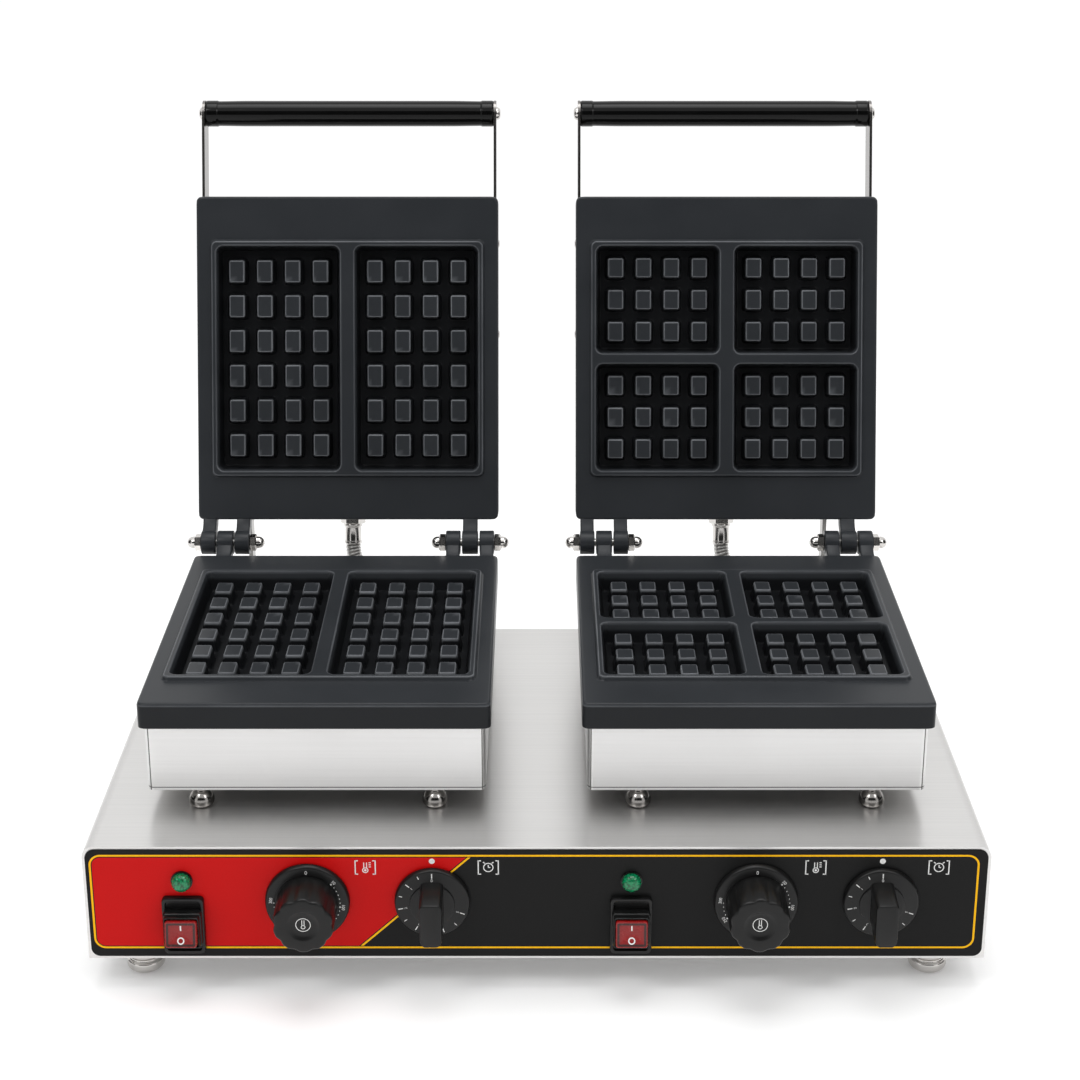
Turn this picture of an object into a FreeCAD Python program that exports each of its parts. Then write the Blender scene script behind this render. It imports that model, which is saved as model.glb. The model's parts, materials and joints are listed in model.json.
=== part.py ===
import FreeCAD, Part
import math
import os
import re
import Sketcher
from FreeCAD import Vector

# Twin-station waffle maker: a steel base box with two hinged baking stations, lids standing open.
# Millimetres, +X right, +Y back, +Z up, floor at Z = 0, origin under the middle of the whole.

SIZES = {
    # Base box, folded from sheet steel
    "front_setback": 205.8,
    "base_width": 580.0,
    "base_depth": 327.0,
    "base_height": 82.0,
    "base_wall": 1.5,
    "base_bend": 8.0,
    "lip_width": 14.0,
    "panel_thickness": 1.2,
    "panel_clearance": 0.25,
    "hole_clearance": 0.2,
    # Printed sheet on the front of the box
    "overlay_margin": 2.0,
    "overlay_thickness": 0.8,
    "overlay_corner": 6.0,
    # Feet under the box, and the screws of its bottom panel
    "foot_height": 23.0,
    "foot_radius": 12.5,
    "foot_step": 2.5,
    "foot_tread": 8.0,
    "foot_inset_side": 31.0,
    "foot_inset_end": 27.0,
    "stud_radius": 2.5,
    "stud_length": 8.0,
    "screw_radius": 1.9,
    "screw_length": 8.0,
    "screw_head_radius": 3.8,
    "screw_head_height": 2.4,
    "panel_screw_inset": 20.0,
    # Places of the controls on the front, from the middle of a station's group
    "control_group": 287.5,
    "lamp_offset": -83.0,
    "knob_offset": -3.0,
    "timer_offset": 77.0,
    "lamp_up": 81.0,
    "switch_up": 49.5,
    "knob_up": 66.5,
    # Indicator lamps
    "lens_radius": 6.0,
    "lens_length": 6.0,
    "lens_round": 4.5,
    "lamp_bezel": 7.0,
    "lamp_bezel_length": 1.4,
    "lamp_neck": 4.8,
    "lamp_neck_length": 24.0,
    # Rocker switches
    "switch_width": 27.0,
    "switch_height": 41.0,
    "switch_flange": 4.0,
    "switch_collar": 12.0,
    "switch_wall": 1.8,
    "switch_body_depth": 24.0,
    "rocker_width": 20.4,
    "rocker_height": 17.4,
    "rocker_reach": 7.0,
    "rocker_dip": 1.6,
    "rocker_root": 6.0,
    "rocker_pivot": 9.0,
    "rocker_tilt": 11.0,
    "rocker_clearance": 0.35,
    "rocker_room": 1.6,
    "trunnion_radius": 1.4,
    "trunnion_length": 1.2,
    # Temperature and timer knobs, their spindles, and the bodies behind the panel
    "knob_gap": 0.5,
    "skirt_thickness": 4.0,
    "skirt_slope": 1.0,
    "skirt_radius": 26.5,
    "knob_radius": 18.6,
    "knob_length": 26.0,
    "knob_dish_radius": 9.5,
    "knob_dish_depth": 1.6,
    "knob_flute_radius": 4.0,
    "knob_flute_depth": 1.2,
    "timer_skirt_radius": 23.7,
    "timer_hub_radius": 15.0,
    "timer_hub_length": 3.0,
    "timer_bar_width": 12.5,
    "timer_bar_length": 33.0,
    "timer_bar_reach": 24.0,
    "timer_bar_cut": 4.0,
    "spindle_radius": 3.0,
    "spindle_in_knob": 18.0,
    "spindle_in_body": 18.0,
    "running_clearance": 0.06,
    "bush_radius": 4.8,
    "thermostat_width": 46.0,
    "thermostat_depth": 30.0,
    "timer_width": 48.0,
    "timer_depth": 38.0,
    # Supply inlet
    "gland_offset": 200.0,
    "gland_up": 62.0,
    "gland_bore": 5.0,
    "gland_neck": 7.8,
    "gland_flange": 11.0,
    "gland_flange_length": 6.0,
    "gland_cap": 9.4,
    "gland_cap_length": 14.0,
    "gland_nut_length": 4.0,
    "terminal_length": 64.0,
    "terminal_width": 26.0,
    "terminal_height": 22.0,
    "terminal_hole": 3.0,
    "terminal_pitch": 12.0,
    # Baking stations: castings, hinges and tubs
    "station_pitch": 288.0,
    "plate_setback": 44.0,
    "plate_width": 229.0,
    "plate_length": 246.0,
    "plate_corner": 4.5,
    "flange_thickness": 18.5,
    "rim_height": 3.0,
    "rim_width": 208.5,
    "rim_length": 181.0,
    "rim_wall": 4.5,
    "rim_corner": 4.0,
    "parting_gap": 0.3,
    "cavity_depth": 14.5,
    "cavity_draft": 15.0,
    "cavity_divider": 10.2,
    "cross_divider": 7.0,
    "peg_height": 10.0,
    "peg_base_width": 15.7,
    "peg_top_width": 11.0,
    "peg_pitch": 21.2,
    "long_peg_base": 21.6,
    "long_peg_top": 15.2,
    "long_peg_pitch": 26.5,
    "short_peg_base": 19.0,
    "short_peg_top": 13.6,
    "short_peg_pitch": 24.2,
    "hinge_reach": 17.0,
    "hinge_inset": 21.5,
    "knuckle_radius": 9.0,
    "knuckle_width": 12.0,
    "ear_width": 11.0,
    "ear_gap": 1.3,
    "web_depth": 12.0,
    "pin_radius": 3.0,
    "nut_play": 0.2,
    "nut_flats": 10.0,
    "nut_length": 5.0,
    "nut_dome_radius": 4.6,
    "nut_dome_length": 6.0,
    "nut_thread_depth": 7.5,
    "lid_open_angle": 106.0,
    "tub_depth": 46.0,
    "tub_inset": 3.8,
    "tub_wall": 1.2,
    "tub_corner": 4.0,
    "ball_foot_height": 14.0,
    "ball_foot_radius": 8.5,
    "ball_foot_round": 5.5,
    "ball_foot_side": 77.0,
    "ball_foot_inset": 7.0,
    # Heating inside the tubs
    "element_radius": 4.0,
    "element_gap": 0.3,
    "element_spread": 60.0,
    "element_bend": 22.0,
    "element_inset": 30.0,
    "clamp_margin": 12.0,
    "clamp_thickness": 4.0,
    "clamp_post_radius": 5.0,
    "clamp_post_inset": 9.0,
    "bulb_radius": 3.0,
    "bulb_length": 80.0,
    # Lid stop
    "stop_offset": 80.0,
    "stop_width": 14.0,
    "stop_thickness": 3.0,
    "stop_reach": 38.0,
    "stop_clearance": 0.3,
    "stop_tab": 15.0,
    # Flexible conduit between lower and upper tub
    "conduit_offset": 44.0,
    "conduit_radius": 6.0,
    "conduit_lead": 24.0,
    "fitting_neck": 5.0,
    "fitting_neck_length": 6.0,
    "fitting_bore": 3.5,
    "fitting_nut_radius": 9.2,
    "fitting_nut_length": 11.0,
    "ferrule_radius": 6.7,
    "ferrule_length": 15.5,
    # Lid handle
    "arm_width": 20.0,
    "arm_thickness": 2.0,
    "arm_gap": 0.4,
    "arm_length": 180.0,
    "arm_screw_pitch": 70.0,
    "grip_reach": 65.0,
    "grip_radius": 10.0,
    "grip_chamfer": 1.5,
    "grip_screw_radius": 2.4,
    "grip_screw_length": 14.0,
    "grip_head_radius": 5.0,
    "grip_head_height": 3.2,
}

STATIONS = {"left": -1, "right": 1}
NEAR = 1e-3
PARALLEL = 1e-6
KNOB_FLUTES = 10
ARC_SHARE = 0.48
VOLUME_TOLERANCE = 0.01

doc = FreeCAD.newDocument("WaffleMaker")
sheet = doc.addObject("Spreadsheet::Sheet", "Sizes")
for row, (alias, value) in enumerate(SIZES.items(), start=1):
    sheet.set(f"A{row}", alias)
    sheet.set(f"B{row}", str(value))
    sheet.setAlias(f"B{row}", alias)
doc.recompute()

nodes = {}


def sized(text):
    """Puts the sheet's name before every size in an expression"""
    return re.sub(r"\b[a-z_]+\b", lambda word: f"Sizes.{word[0]}" if word[0] in SIZES else word[0], text)


def number(text):
    """The value of an expression at the present sizes"""
    value = sheet.evalExpression(sized(text))
    return float(getattr(value, "Value", value))


def bind(thing, prop, text):
    thing.setExpression(prop, sized(text))


def new_body(label):
    body = doc.addObject("PartDesign::Body", "Body")
    body.Label = label
    return body


def origin_feature(body, role):
    return next(feature for feature in body.Origin.OriginFeatures if feature.Role == role)


def sketch(body, plane, offset=("0", "0", "0")):
    """An empty sketch on one of the body's planes; the offset is along the sketch's own axes"""
    drawing = body.newObject("Sketcher::SketchObject", "Sketch")
    drawing.AttachmentSupport = [(origin_feature(body, plane), "")]
    drawing.MapMode = "FlatFace"
    for axis, text in zip("xyz", offset):
        bind(drawing, f"AttachmentOffset.Base.{axis}", text)
    return drawing


def hold(drawing, kind, where, text):
    """Adds one dimension to a sketch and ties it to the sheet"""
    index = drawing.addConstraint(Sketcher.Constraint(kind, *where, number(text)))
    drawing.setExpression(f"Constraints[{index}]", sized(text))


def outline(drawing, points):
    """A closed outline of straight lines whose corners are tied to the sheet"""
    first = drawing.GeometryCount
    corners = [Vector(number(x), number(y), 0) for x, y in points]
    for here, there in zip(corners, corners[1:] + corners[:1]):
        drawing.addGeometry(Part.LineSegment(here, there), False)
    for step, (x, y) in enumerate(points):
        line = first + step
        following = first + (step + 1) % len(points)
        drawing.addConstraint(Sketcher.Constraint("Coincident", line, 2, following, 1))
        hold(drawing, "DistanceX", (line, 1), x)
        hold(drawing, "DistanceY", (line, 1), y)


def rectangle(drawing, x, y, width, height):
    """A rectangle by its middle and its two sizes"""
    left, right = f"({x}) - ({width}) / 2", f"({x}) + ({width}) / 2"
    low, high = f"({y}) - ({height}) / 2", f"({y}) + ({height}) / 2"
    outline(drawing, [(left, low), (right, low), (right, high), (left, high)])


def ring(drawing, x, y, radius):
    centre = Vector(number(x), number(y), 0)
    index = drawing.addGeometry(Part.Circle(centre, Vector(0, 0, 1), number(radius)), False)
    hold(drawing, "Radius", (index,), radius)
    hold(drawing, "DistanceX", (index, 3), x)
    hold(drawing, "DistanceY", (index, 3), y)


def add_feature(body, kind, prop, drawing, text, back):
    feature = body.newObject(f"PartDesign::{kind}", kind)
    feature.Profile = drawing
    bind(feature, prop, text)
    feature.Reversed = back
    return feature


def pad(body, drawing, length, back=False):
    return add_feature(body, "Pad", "Length", drawing, length, back)


def pocket(body, drawing, depth, back=False):
    """Cuts a pocket and makes sure that it took something away"""
    doc.recompute()
    before = body.Shape.Volume
    feature = add_feature(body, "Pocket", "Length", drawing, depth, back)
    doc.recompute()
    if body.Shape.Volume >= before:
        raise RuntimeError(f"{body.Label}: a pocket cut nothing")
    return feature


def turned(body, plane, offset, profile, axis="V_Axis"):
    """A piece turned on a lathe: a profile carried round one of the sketch's own axes"""
    drawing = sketch(body, plane, offset)
    outline(drawing, profile)
    feature = body.newObject("PartDesign::Revolution", "Revolution")
    feature.Profile = drawing
    feature.ReferenceAxis = (drawing, [axis])
    feature.Angle = 360.0
    return feature


def round_edges(body, radius, chosen):
    """Rounds the edges of the body that the test picks"""
    doc.recompute()
    base = body.Tip
    names = [f"Edge{i}" for i, edge in enumerate(base.Shape.Edges, start=1) if chosen(edge)]
    feature = body.newObject("PartDesign::Fillet", "Fillet")
    feature.Base = (base, names)
    bind(feature, "Radius", radius)
    return feature


def hollow(body, wall, opened):
    """Leaves a wall of one thickness and takes the picked face away"""
    doc.recompute()
    base = body.Tip
    names = [f"Face{i}" for i, face in enumerate(base.Shape.Faces, start=1) if opened(face)]
    feature = body.newObject("PartDesign::Thickness", "Thickness")
    feature.Base = (base, names)
    bind(feature, "Value", wall)
    feature.Reversed = True
    feature.Join = "Intersection"
    return feature


def row_of(body, axis, spacing, count, back=False):
    """One straight row of a repeated feature, for use in a repeat"""
    row = body.newObject("PartDesign::LinearPattern", "Row")
    row.Direction = (origin_feature(body, axis), [""])
    row.Mode = "Spacing"
    bind(row, "Offset", spacing)
    row.Occurrences = count
    row.Reversed = back
    return row


def repeat(body, feature, rows):
    pattern = body.newObject("PartDesign::MultiTransform", "Repeat")
    pattern.Originals = [feature]
    pattern.Transformations = rows
    body.Tip = pattern
    return pattern


def runs_along(edge, axis):
    """True for a straight edge parallel to one of the body's axes"""
    if len(edge.Vertexes) != 2 or not isinstance(edge.Curve, Part.Line):
        return False
    return abs(abs(edge.Curve.Direction.dot(axis)) - 1) < PARALLEL


ALONG_X, ALONG_Y, ALONG_Z = Vector(1, 0, 0), Vector(0, 1, 0), Vector(0, 0, 1)


def group(label, pieces):
    """Several separate solids that share one node"""
    compound = doc.addObject("Part::Compound", "Group")
    compound.Label = label
    compound.Links = pieces
    return compound


# Places in a station's own frame, whose origin is on the hinge axis, in the middle of the station
FLANGE_TOP = "(-parting_gap / 2 - rim_height)"
FLANGE_UNDER = f"({FLANGE_TOP} - flange_thickness)"
TUB_UNDER = f"({FLANGE_UNDER} - tub_depth)"
TUB_MIDDLE = f"({FLANGE_UNDER} - tub_depth / 2)"
PLATE_REAR = "(-hinge_reach)"
PLATE_MIDDLE = "(-hinge_reach - plate_length / 2)"
PLATE_FRONT = "(-hinge_reach - plate_length)"
TUB_WIDTH = "(plate_width - 2 * tub_inset)"
TUB_LENGTH = "(plate_length - 2 * tub_inset)"
TUB_REAR = "(-hinge_reach - tub_inset)"
HINGE_SIDE = "(plate_width / 2 - hinge_inset)"
BASE_TOP = "(foot_height + base_height)"
HINGE_UP = f"({BASE_TOP} + ball_foot_height - {TUB_UNDER})"
HINGE_BACK = "(plate_setback + plate_length + hinge_reach)"


def on_base(label, part):
    """Seats a part that is drawn from the middle of the base's front face"""
    bind(part, "Placement.Base.y", "-front_setback")
    nodes[label] = part


def on_station(label, part, side):
    """Seats a part that is drawn in its station's frame"""
    bind(part, "Placement.Base.x", f"{side} * station_pitch / 2")
    bind(part, "Placement.Base.y", f"{HINGE_BACK} - front_setback")
    bind(part, "Placement.Base.z", HINGE_UP)
    nodes[label] = part


def on_lid(label, part, side):
    """Seats a lid part: turned over about the front-to-back axis, then swung open about the hinge"""
    place = f"vector({side} * station_pitch / 2; {HINGE_BACK} - front_setback; {HINGE_UP})"
    swing = "rotation(vector(1; 0; 0); -lid_open_angle * 1deg) * rotation(vector(0; 1; 0); 180deg)"
    bind(part, "Placement", f"placement({place}; {swing})")
    nodes[label] = part


def control_place(side, offset):
    """Across the front, from the middle of the base to one control of a station's group"""
    return f"({side} * control_group / 2 + {offset})"


def front_openings(drawing):
    """The openings that the printed sheet and the base's front wall share"""
    for side in STATIONS.values():
        ring(drawing, control_place(side, "lamp_offset"), "lamp_up", "lamp_neck + hole_clearance")
        for offset in ("knob_offset", "timer_offset"):
            ring(drawing, control_place(side, offset), "knob_up", "bush_radius + hole_clearance")
        width = f"{SWITCH_OUTER_WIDTH} + 2 * hole_clearance"
        height = f"{SWITCH_OUTER_HEIGHT} + 2 * hole_clearance"
        rectangle(drawing, control_place(side, "lamp_offset"), "switch_up", width, height)


SWITCH_OPEN_WIDTH = "(rocker_width + 2 * rocker_clearance)"
SWITCH_OPEN_HEIGHT = "(rocker_height + 2 * rocker_room)"
SWITCH_OUTER_WIDTH = f"({SWITCH_OPEN_WIDTH} + 2 * switch_wall)"
SWITCH_OUTER_HEIGHT = f"({SWITCH_OPEN_HEIGHT} + 2 * switch_wall)"


def foot_corners():
    """The four places of the feet under the base, as expressions"""
    for side in (-1, 1):
        for end in ("foot_inset_end", "base_depth - foot_inset_end"):
            yield f"({side} * (base_width / 2 - foot_inset_side))", f"({end})"


def ball_foot_corners():
    """The four places of the ball feet under one station, in the station's frame"""
    for side in (-1, 1):
        for end in (-1, 1):
            middle = f"{PLATE_MIDDLE} + {end} * ({TUB_LENGTH} / 2 - ball_foot_inset)"
            yield f"({side} * ball_foot_side)", f"({middle})"


def panel_screw_places():
    """The screws that hold the bottom panel to the lips of the base"""
    for side in (-1, 1):
        across = f"({side} * (base_width / 2 - base_wall - lip_width / 2))"
        for back in ("panel_screw_inset", "base_depth / 2", "base_depth - panel_screw_inset"):
            yield across, f"({back})"


def make_base_shell():
    """Box of folded steel, open below, with two lips for the bottom panel"""
    body = new_body("base_shell")
    front = sketch(body, "XZ_Plane")
    rectangle(front, "0", "foot_height + base_height / 2", "base_width", "base_height")
    pad(body, front, "base_depth", back=True)
    top = number(BASE_TOP)
    round_edges(body, "base_bend", lambda edge: runs_along(edge, ALONG_Y) and edge.BoundBox.ZMin > top - NEAR)
    under = number("foot_height")
    hollow(body, "base_wall", lambda face: face.BoundBox.ZMax < under + NEAR)
    lips = sketch(body, "XY_Plane", ("0", "0", "foot_height + panel_thickness"))
    for side in (-1, 1):
        across = f"{side} * (base_width / 2 - base_wall - lip_width / 2)"
        rectangle(lips, across, "base_depth / 2", "lip_width", "base_depth - 2 * base_wall")
    pad(body, lips, "base_wall")
    openings = sketch(body, "XZ_Plane")
    front_openings(openings)
    pocket(body, openings, "base_wall")
    inlet = sketch(body, "XZ_Plane", ("0", "0", "-base_depth"))
    ring(inlet, "gland_offset", "gland_up", "gland_neck + hole_clearance")
    pocket(body, inlet, "base_wall", back=True)
    studs = sketch(body, "XY_Plane", ("0", "0", BASE_TOP))
    for side in STATIONS.values():
        for x, y in ball_foot_corners():
            across = f"{side} * station_pitch / 2 + {x}"
            ring(studs, across, f"{HINGE_BACK} + {y}", "stud_radius + hole_clearance")
    pocket(body, studs, "base_wall")
    screws = sketch(body, "XY_Plane", ("0", "0", "foot_height + panel_thickness + base_wall"))
    for x, y in panel_screw_places():
        ring(screws, x, y, "screw_radius + hole_clearance")
    pocket(body, screws, "base_wall")
    on_base("base_shell", body)


def make_bottom_panel():
    """Flat sheet that closes the base from below"""
    body = new_body("base_bottom_panel")
    sheet_outline = sketch(body, "XY_Plane", ("0", "0", "foot_height"))
    shrink = "2 * (base_wall + panel_clearance)"
    rectangle(sheet_outline, "0", "base_depth / 2", f"base_width - {shrink}", f"base_depth - {shrink}")
    for x, y in foot_corners():
        ring(sheet_outline, x, y, "stud_radius + hole_clearance")
    for x, y in panel_screw_places():
        ring(sheet_outline, x, y, "screw_radius + hole_clearance")
    pad(body, sheet_outline, "panel_thickness")
    on_base("base_bottom_panel", body)


def make_panel_screws():
    """Pan-head screws, driven from below"""
    pieces = []
    for x, y in panel_screw_places():
        body = new_body("panel_screw")
        profile = [
            ("0", "-screw_head_height"), ("screw_head_radius", "-screw_head_height"),
            ("screw_head_radius", "0"), ("screw_radius", "0"),
            ("screw_radius", "screw_length"), ("0", "screw_length"),
        ]
        turned(body, "XZ_Plane", (x, "foot_height", f"-{y}"), profile)
        pieces.append(body)
    on_base("bottom_panel_screws", group("bottom_panel_screws", pieces))


def make_base_feet():
    """Stepped round feet, each with a stud through the bottom panel"""
    pieces = []
    waist = "foot_radius - foot_step"
    for x, y in foot_corners():
        body = new_body("base_foot")
        profile = [
            ("0", "0"), ("foot_radius - foot_step", "0"), ("foot_radius", "foot_step"),
            ("foot_radius", "foot_tread"), (waist, "foot_tread + foot_step"), (waist, "foot_height"),
            ("stud_radius", "foot_height"), ("stud_radius", "foot_height + stud_length"),
            ("0", "foot_height + stud_length"),
        ]
        turned(body, "XZ_Plane", (x, "0", f"-{y}"), profile)
        pieces.append(body)
    on_base("base_feet", group("base_feet", pieces))


def make_overlay():
    """Printed sheet glued to the front of the base"""
    body = new_body("control_overlay")
    drawing = sketch(body, "XZ_Plane")
    height = "base_height - 2 * overlay_margin"
    rectangle(drawing, "0", "foot_height + base_height / 2", "base_width - 2 * overlay_margin", height)
    pad(body, drawing, "overlay_thickness")
    round_edges(body, "overlay_corner", lambda edge: runs_along(edge, ALONG_Y))
    openings = sketch(body, "XZ_Plane", ("0", "0", "overlay_thickness"))
    front_openings(openings)
    pocket(body, openings, "overlay_thickness")
    on_base("control_overlay", body)


def make_indicators():
    """Green lenses, each on a threaded lamp body that passes through the panel"""
    lenses, bodies = [], []
    seat = "overlay_thickness + lamp_bezel_length"
    for side in STATIONS.values():
        place = (control_place(side, "lamp_offset"), "0", "lamp_up")
        lens = new_body("indicator_lens")
        tip = f"-({seat} + lens_length)"
        profile = [("0", f"-({seat})"), ("lens_radius", f"-({seat})"), ("lens_radius", tip), ("0", tip)]
        turned(lens, "XY_Plane", place, profile)
        front = number(tip)
        round_edges(lens, "lens_round", lambda edge: edge.BoundBox.YMax < front + NEAR)
        lenses.append(lens)
        lamp = new_body("indicator_body")
        profile = [
            ("0", f"-({seat})"), ("lamp_bezel", f"-({seat})"), ("lamp_bezel", "-overlay_thickness"),
            ("lamp_neck", "-overlay_thickness"), ("lamp_neck", "lamp_neck_length"), ("0", "lamp_neck_length"),
        ]
        turned(lamp, "XY_Plane", place, profile)
        bodies.append(lamp)
    on_base("indicator_lenses", group("indicator_lenses", lenses))
    on_base("indicator_bodies", group("indicator_bodies", bodies))


ROCKER_AXIS = "(overlay_thickness + rocker_pivot)"


def make_switch_housings():
    """Black switch frames: flange, collar round the rocker, and the contact box behind the panel"""
    pieces = []
    for side in STATIONS.values():
        across = control_place(side, "lamp_offset")
        body = new_body("switch_housing")
        flange = sketch(body, "XZ_Plane", ("0", "0", "overlay_thickness"))
        rectangle(flange, across, "switch_up", "switch_width", "switch_height")
        pad(body, flange, "switch_flange")
        collar = sketch(body, "XZ_Plane", ("0", "0", "overlay_thickness + switch_collar"))
        rectangle(collar, across, "switch_up", SWITCH_OUTER_WIDTH, SWITCH_OUTER_HEIGHT)
        pad(body, collar, "overlay_thickness + switch_collar + base_wall + switch_body_depth", back=True)
        opening = sketch(body, "XZ_Plane", ("0", "0", "overlay_thickness + switch_collar"))
        rectangle(opening, across, "switch_up", SWITCH_OPEN_WIDTH, SWITCH_OPEN_HEIGHT)
        pocket(body, opening, "switch_collar + rocker_root")
        pivot = sketch(body, "YZ_Plane", ("0", "0", f"{across} - {SWITCH_OUTER_WIDTH} / 2"))
        ring(pivot, f"-{ROCKER_AXIS}", "switch_up", "trunnion_radius + running_clearance")
        pocket(body, pivot, SWITCH_OUTER_WIDTH, back=True)
        pieces.append(body)
    on_base("switch_housings", group("switch_housings", pieces))


def make_rocker(name, side):
    """Red rocker with a shallow V face, tipped over on its two trunnions"""
    label = f"{name}_rocker"
    body = new_body(label)
    profile = sketch(body, "YZ_Plane", ("0", "0", "-rocker_width / 2"))
    half = "rocker_height / 2"
    outline(profile, [
        ("-rocker_reach", f"-{half}"), ("rocker_root / 2", f"-{half} + rocker_root / 2"),
        ("rocker_root / 2", f"{half} - rocker_root / 2"), ("-rocker_reach", half),
        ("-rocker_reach + rocker_dip", "0"),
    ])
    pad(body, profile, "rocker_width")
    reach = "(rocker_width / 2 + rocker_clearance + trunnion_length)"
    trunnions = sketch(body, "YZ_Plane", ("0", "0", f"-{reach}"))
    ring(trunnions, "0", "0", "trunnion_radius")
    pad(body, trunnions, f"2 * {reach}")
    place = f"vector({control_place(side, 'lamp_offset')}; -front_setback - {ROCKER_AXIS}; switch_up)"
    bind(body, "Placement", f"placement({place}; rotation(vector(1; 0; 0); -rocker_tilt * 1deg))")
    nodes[label] = body


SKIRT_BACK = "(overlay_thickness + knob_gap)"


def knob_bore(body, across):
    """Blind hole for the spindle in the back of a knob"""
    drawing = sketch(body, "XZ_Plane", ("0", "0", SKIRT_BACK))
    ring(drawing, across, "knob_up", "spindle_radius + running_clearance")
    pocket(body, drawing, "spindle_in_knob + knob_gap", back=True)


def make_temperature_knob(name, side):
    """Fluted knob with a dished face on a sloping dial skirt"""
    label = f"{name}_temperature_knob"
    body = new_body(label)
    across = control_place(side, "knob_offset")
    front = f"-({SKIRT_BACK} + skirt_thickness)"
    tip = f"-({SKIRT_BACK} + skirt_thickness + knob_length)"
    profile = [
        ("0", f"-{SKIRT_BACK}"), ("skirt_radius", f"-{SKIRT_BACK}"), ("skirt_radius - skirt_slope", front),
        ("knob_radius", front), ("knob_radius", tip), ("knob_dish_radius", tip),
        ("knob_dish_radius - knob_dish_depth", f"{tip} + knob_dish_depth"), ("0", f"{tip} + knob_dish_depth"),
    ]
    turned(body, "XY_Plane", (across, "0", "knob_up"), profile)
    flute = sketch(body, "XZ_Plane", (across, "knob_up", f"-({tip})"))
    ring(flute, "0", "knob_radius + knob_flute_radius - knob_flute_depth", "knob_flute_radius")
    cut = pocket(body, flute, "knob_length")
    flutes = body.newObject("PartDesign::PolarPattern", "Flutes")
    flutes.Originals = [cut]
    flutes.Axis = (flute, ["N_Axis"])
    flutes.Angle = 360.0
    flutes.Occurrences = KNOB_FLUTES
    body.Tip = flutes
    knob_bore(body, across)
    on_base(label, body)


def make_timer_knob(name, direction):
    """Dial with a low hub and a bar to grip"""
    label = f"{name}_timer_knob"
    body = new_body(label)
    across = control_place(direction, "timer_offset")
    front = f"-({SKIRT_BACK} + skirt_thickness)"
    hub = f"-({SKIRT_BACK} + skirt_thickness + timer_hub_length)"
    profile = [
        ("0", f"-{SKIRT_BACK}"), ("timer_skirt_radius", f"-{SKIRT_BACK}"),
        ("timer_skirt_radius - skirt_slope", front), ("timer_hub_radius", front),
        ("timer_hub_radius", hub), ("0", hub),
    ]
    turned(body, "XY_Plane", (across, "0", "knob_up"), profile)
    bar = sketch(body, "XZ_Plane", (across, "knob_up", f"{SKIRT_BACK} + skirt_thickness"))
    side, end = "(timer_bar_width / 2)", "(timer_bar_length / 2)"
    narrow, shoulder = f"({side} - timer_bar_cut)", f"({end} - timer_bar_cut)"
    outline(bar, [
        (f"-{narrow}", f"-{end}"), (narrow, f"-{end}"), (side, f"-{shoulder}"), (side, shoulder),
        (narrow, end), (f"-{narrow}", end), (f"-{side}", shoulder), (f"-{side}", f"-{shoulder}"),
    ])
    pad(body, bar, "timer_bar_reach")
    knob_bore(body, across)
    on_base(label, body)


def make_spindle(label, side, offset):
    """Steel shaft from the body behind the panel into the knob"""
    rod = doc.addObject("Part::Cylinder", "Spindle")
    rod.Label = label
    rod.Placement = FreeCAD.Placement(Vector(), FreeCAD.Rotation(ALONG_X, 90))
    bind(rod, "Radius", "spindle_radius")
    bind(rod, "Height", f"spindle_in_body + {SKIRT_BACK} + spindle_in_knob")
    bind(rod, "Placement.Base.x", control_place(side, offset))
    bind(rod, "Placement.Base.y", "spindle_in_body - front_setback")
    bind(rod, "Placement.Base.z", "knob_up")
    nodes[label] = rod


def make_control_bodies(label, offset, width, depth):
    """Boxes behind the panel, each with a bush through it and a bore for the spindle"""
    pieces = []
    for side in STATIONS.values():
        across = control_place(side, offset)
        body = new_body(label)
        block = sketch(body, "XZ_Plane", ("0", "0", "-base_wall"))
        rectangle(block, across, "knob_up", width, width)
        pad(body, block, depth, back=True)
        bush = sketch(body, "XZ_Plane", ("0", "0", "-base_wall"))
        ring(bush, across, "knob_up", "bush_radius")
        pad(body, bush, "base_wall + overlay_thickness")
        bore = sketch(body, "XZ_Plane", ("0", "0", "overlay_thickness"))
        ring(bore, across, "knob_up", "spindle_radius + running_clearance")
        pocket(body, bore, "overlay_thickness + spindle_in_body + knob_gap")
        pieces.append(body)
    on_base(label, group(label, pieces))


def make_cord_gland():
    """Screwed gland in the rear wall, with its nut inside, for the supply cord"""
    body = new_body("cord_gland")
    wall = "base_depth"
    profile = [
        ("gland_bore", f"{wall} - base_wall - 2 * gland_nut_length"),
        ("gland_neck", f"{wall} - base_wall - 2 * gland_nut_length"),
        ("gland_neck", f"{wall} - base_wall - gland_nut_length"),
        ("gland_flange", f"{wall} - base_wall - gland_nut_length"),
        ("gland_flange", f"{wall} - base_wall"), ("gland_neck", f"{wall} - base_wall"), ("gland_neck", wall),
        ("gland_flange", wall), ("gland_flange", f"{wall} + gland_flange_length"),
        ("gland_cap", f"{wall} + gland_flange_length"), ("gland_cap", f"{wall} + gland_cap_length"),
        ("gland_neck", f"{wall} + gland_flange_length + gland_cap_length"),
        ("gland_bore", f"{wall} + gland_flange_length + gland_cap_length"),
    ]
    turned(body, "XY_Plane", ("gland_offset", "0", "gland_up"), profile)
    on_base("cord_gland", body)


TERMINAL_WAYS = 5


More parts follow.
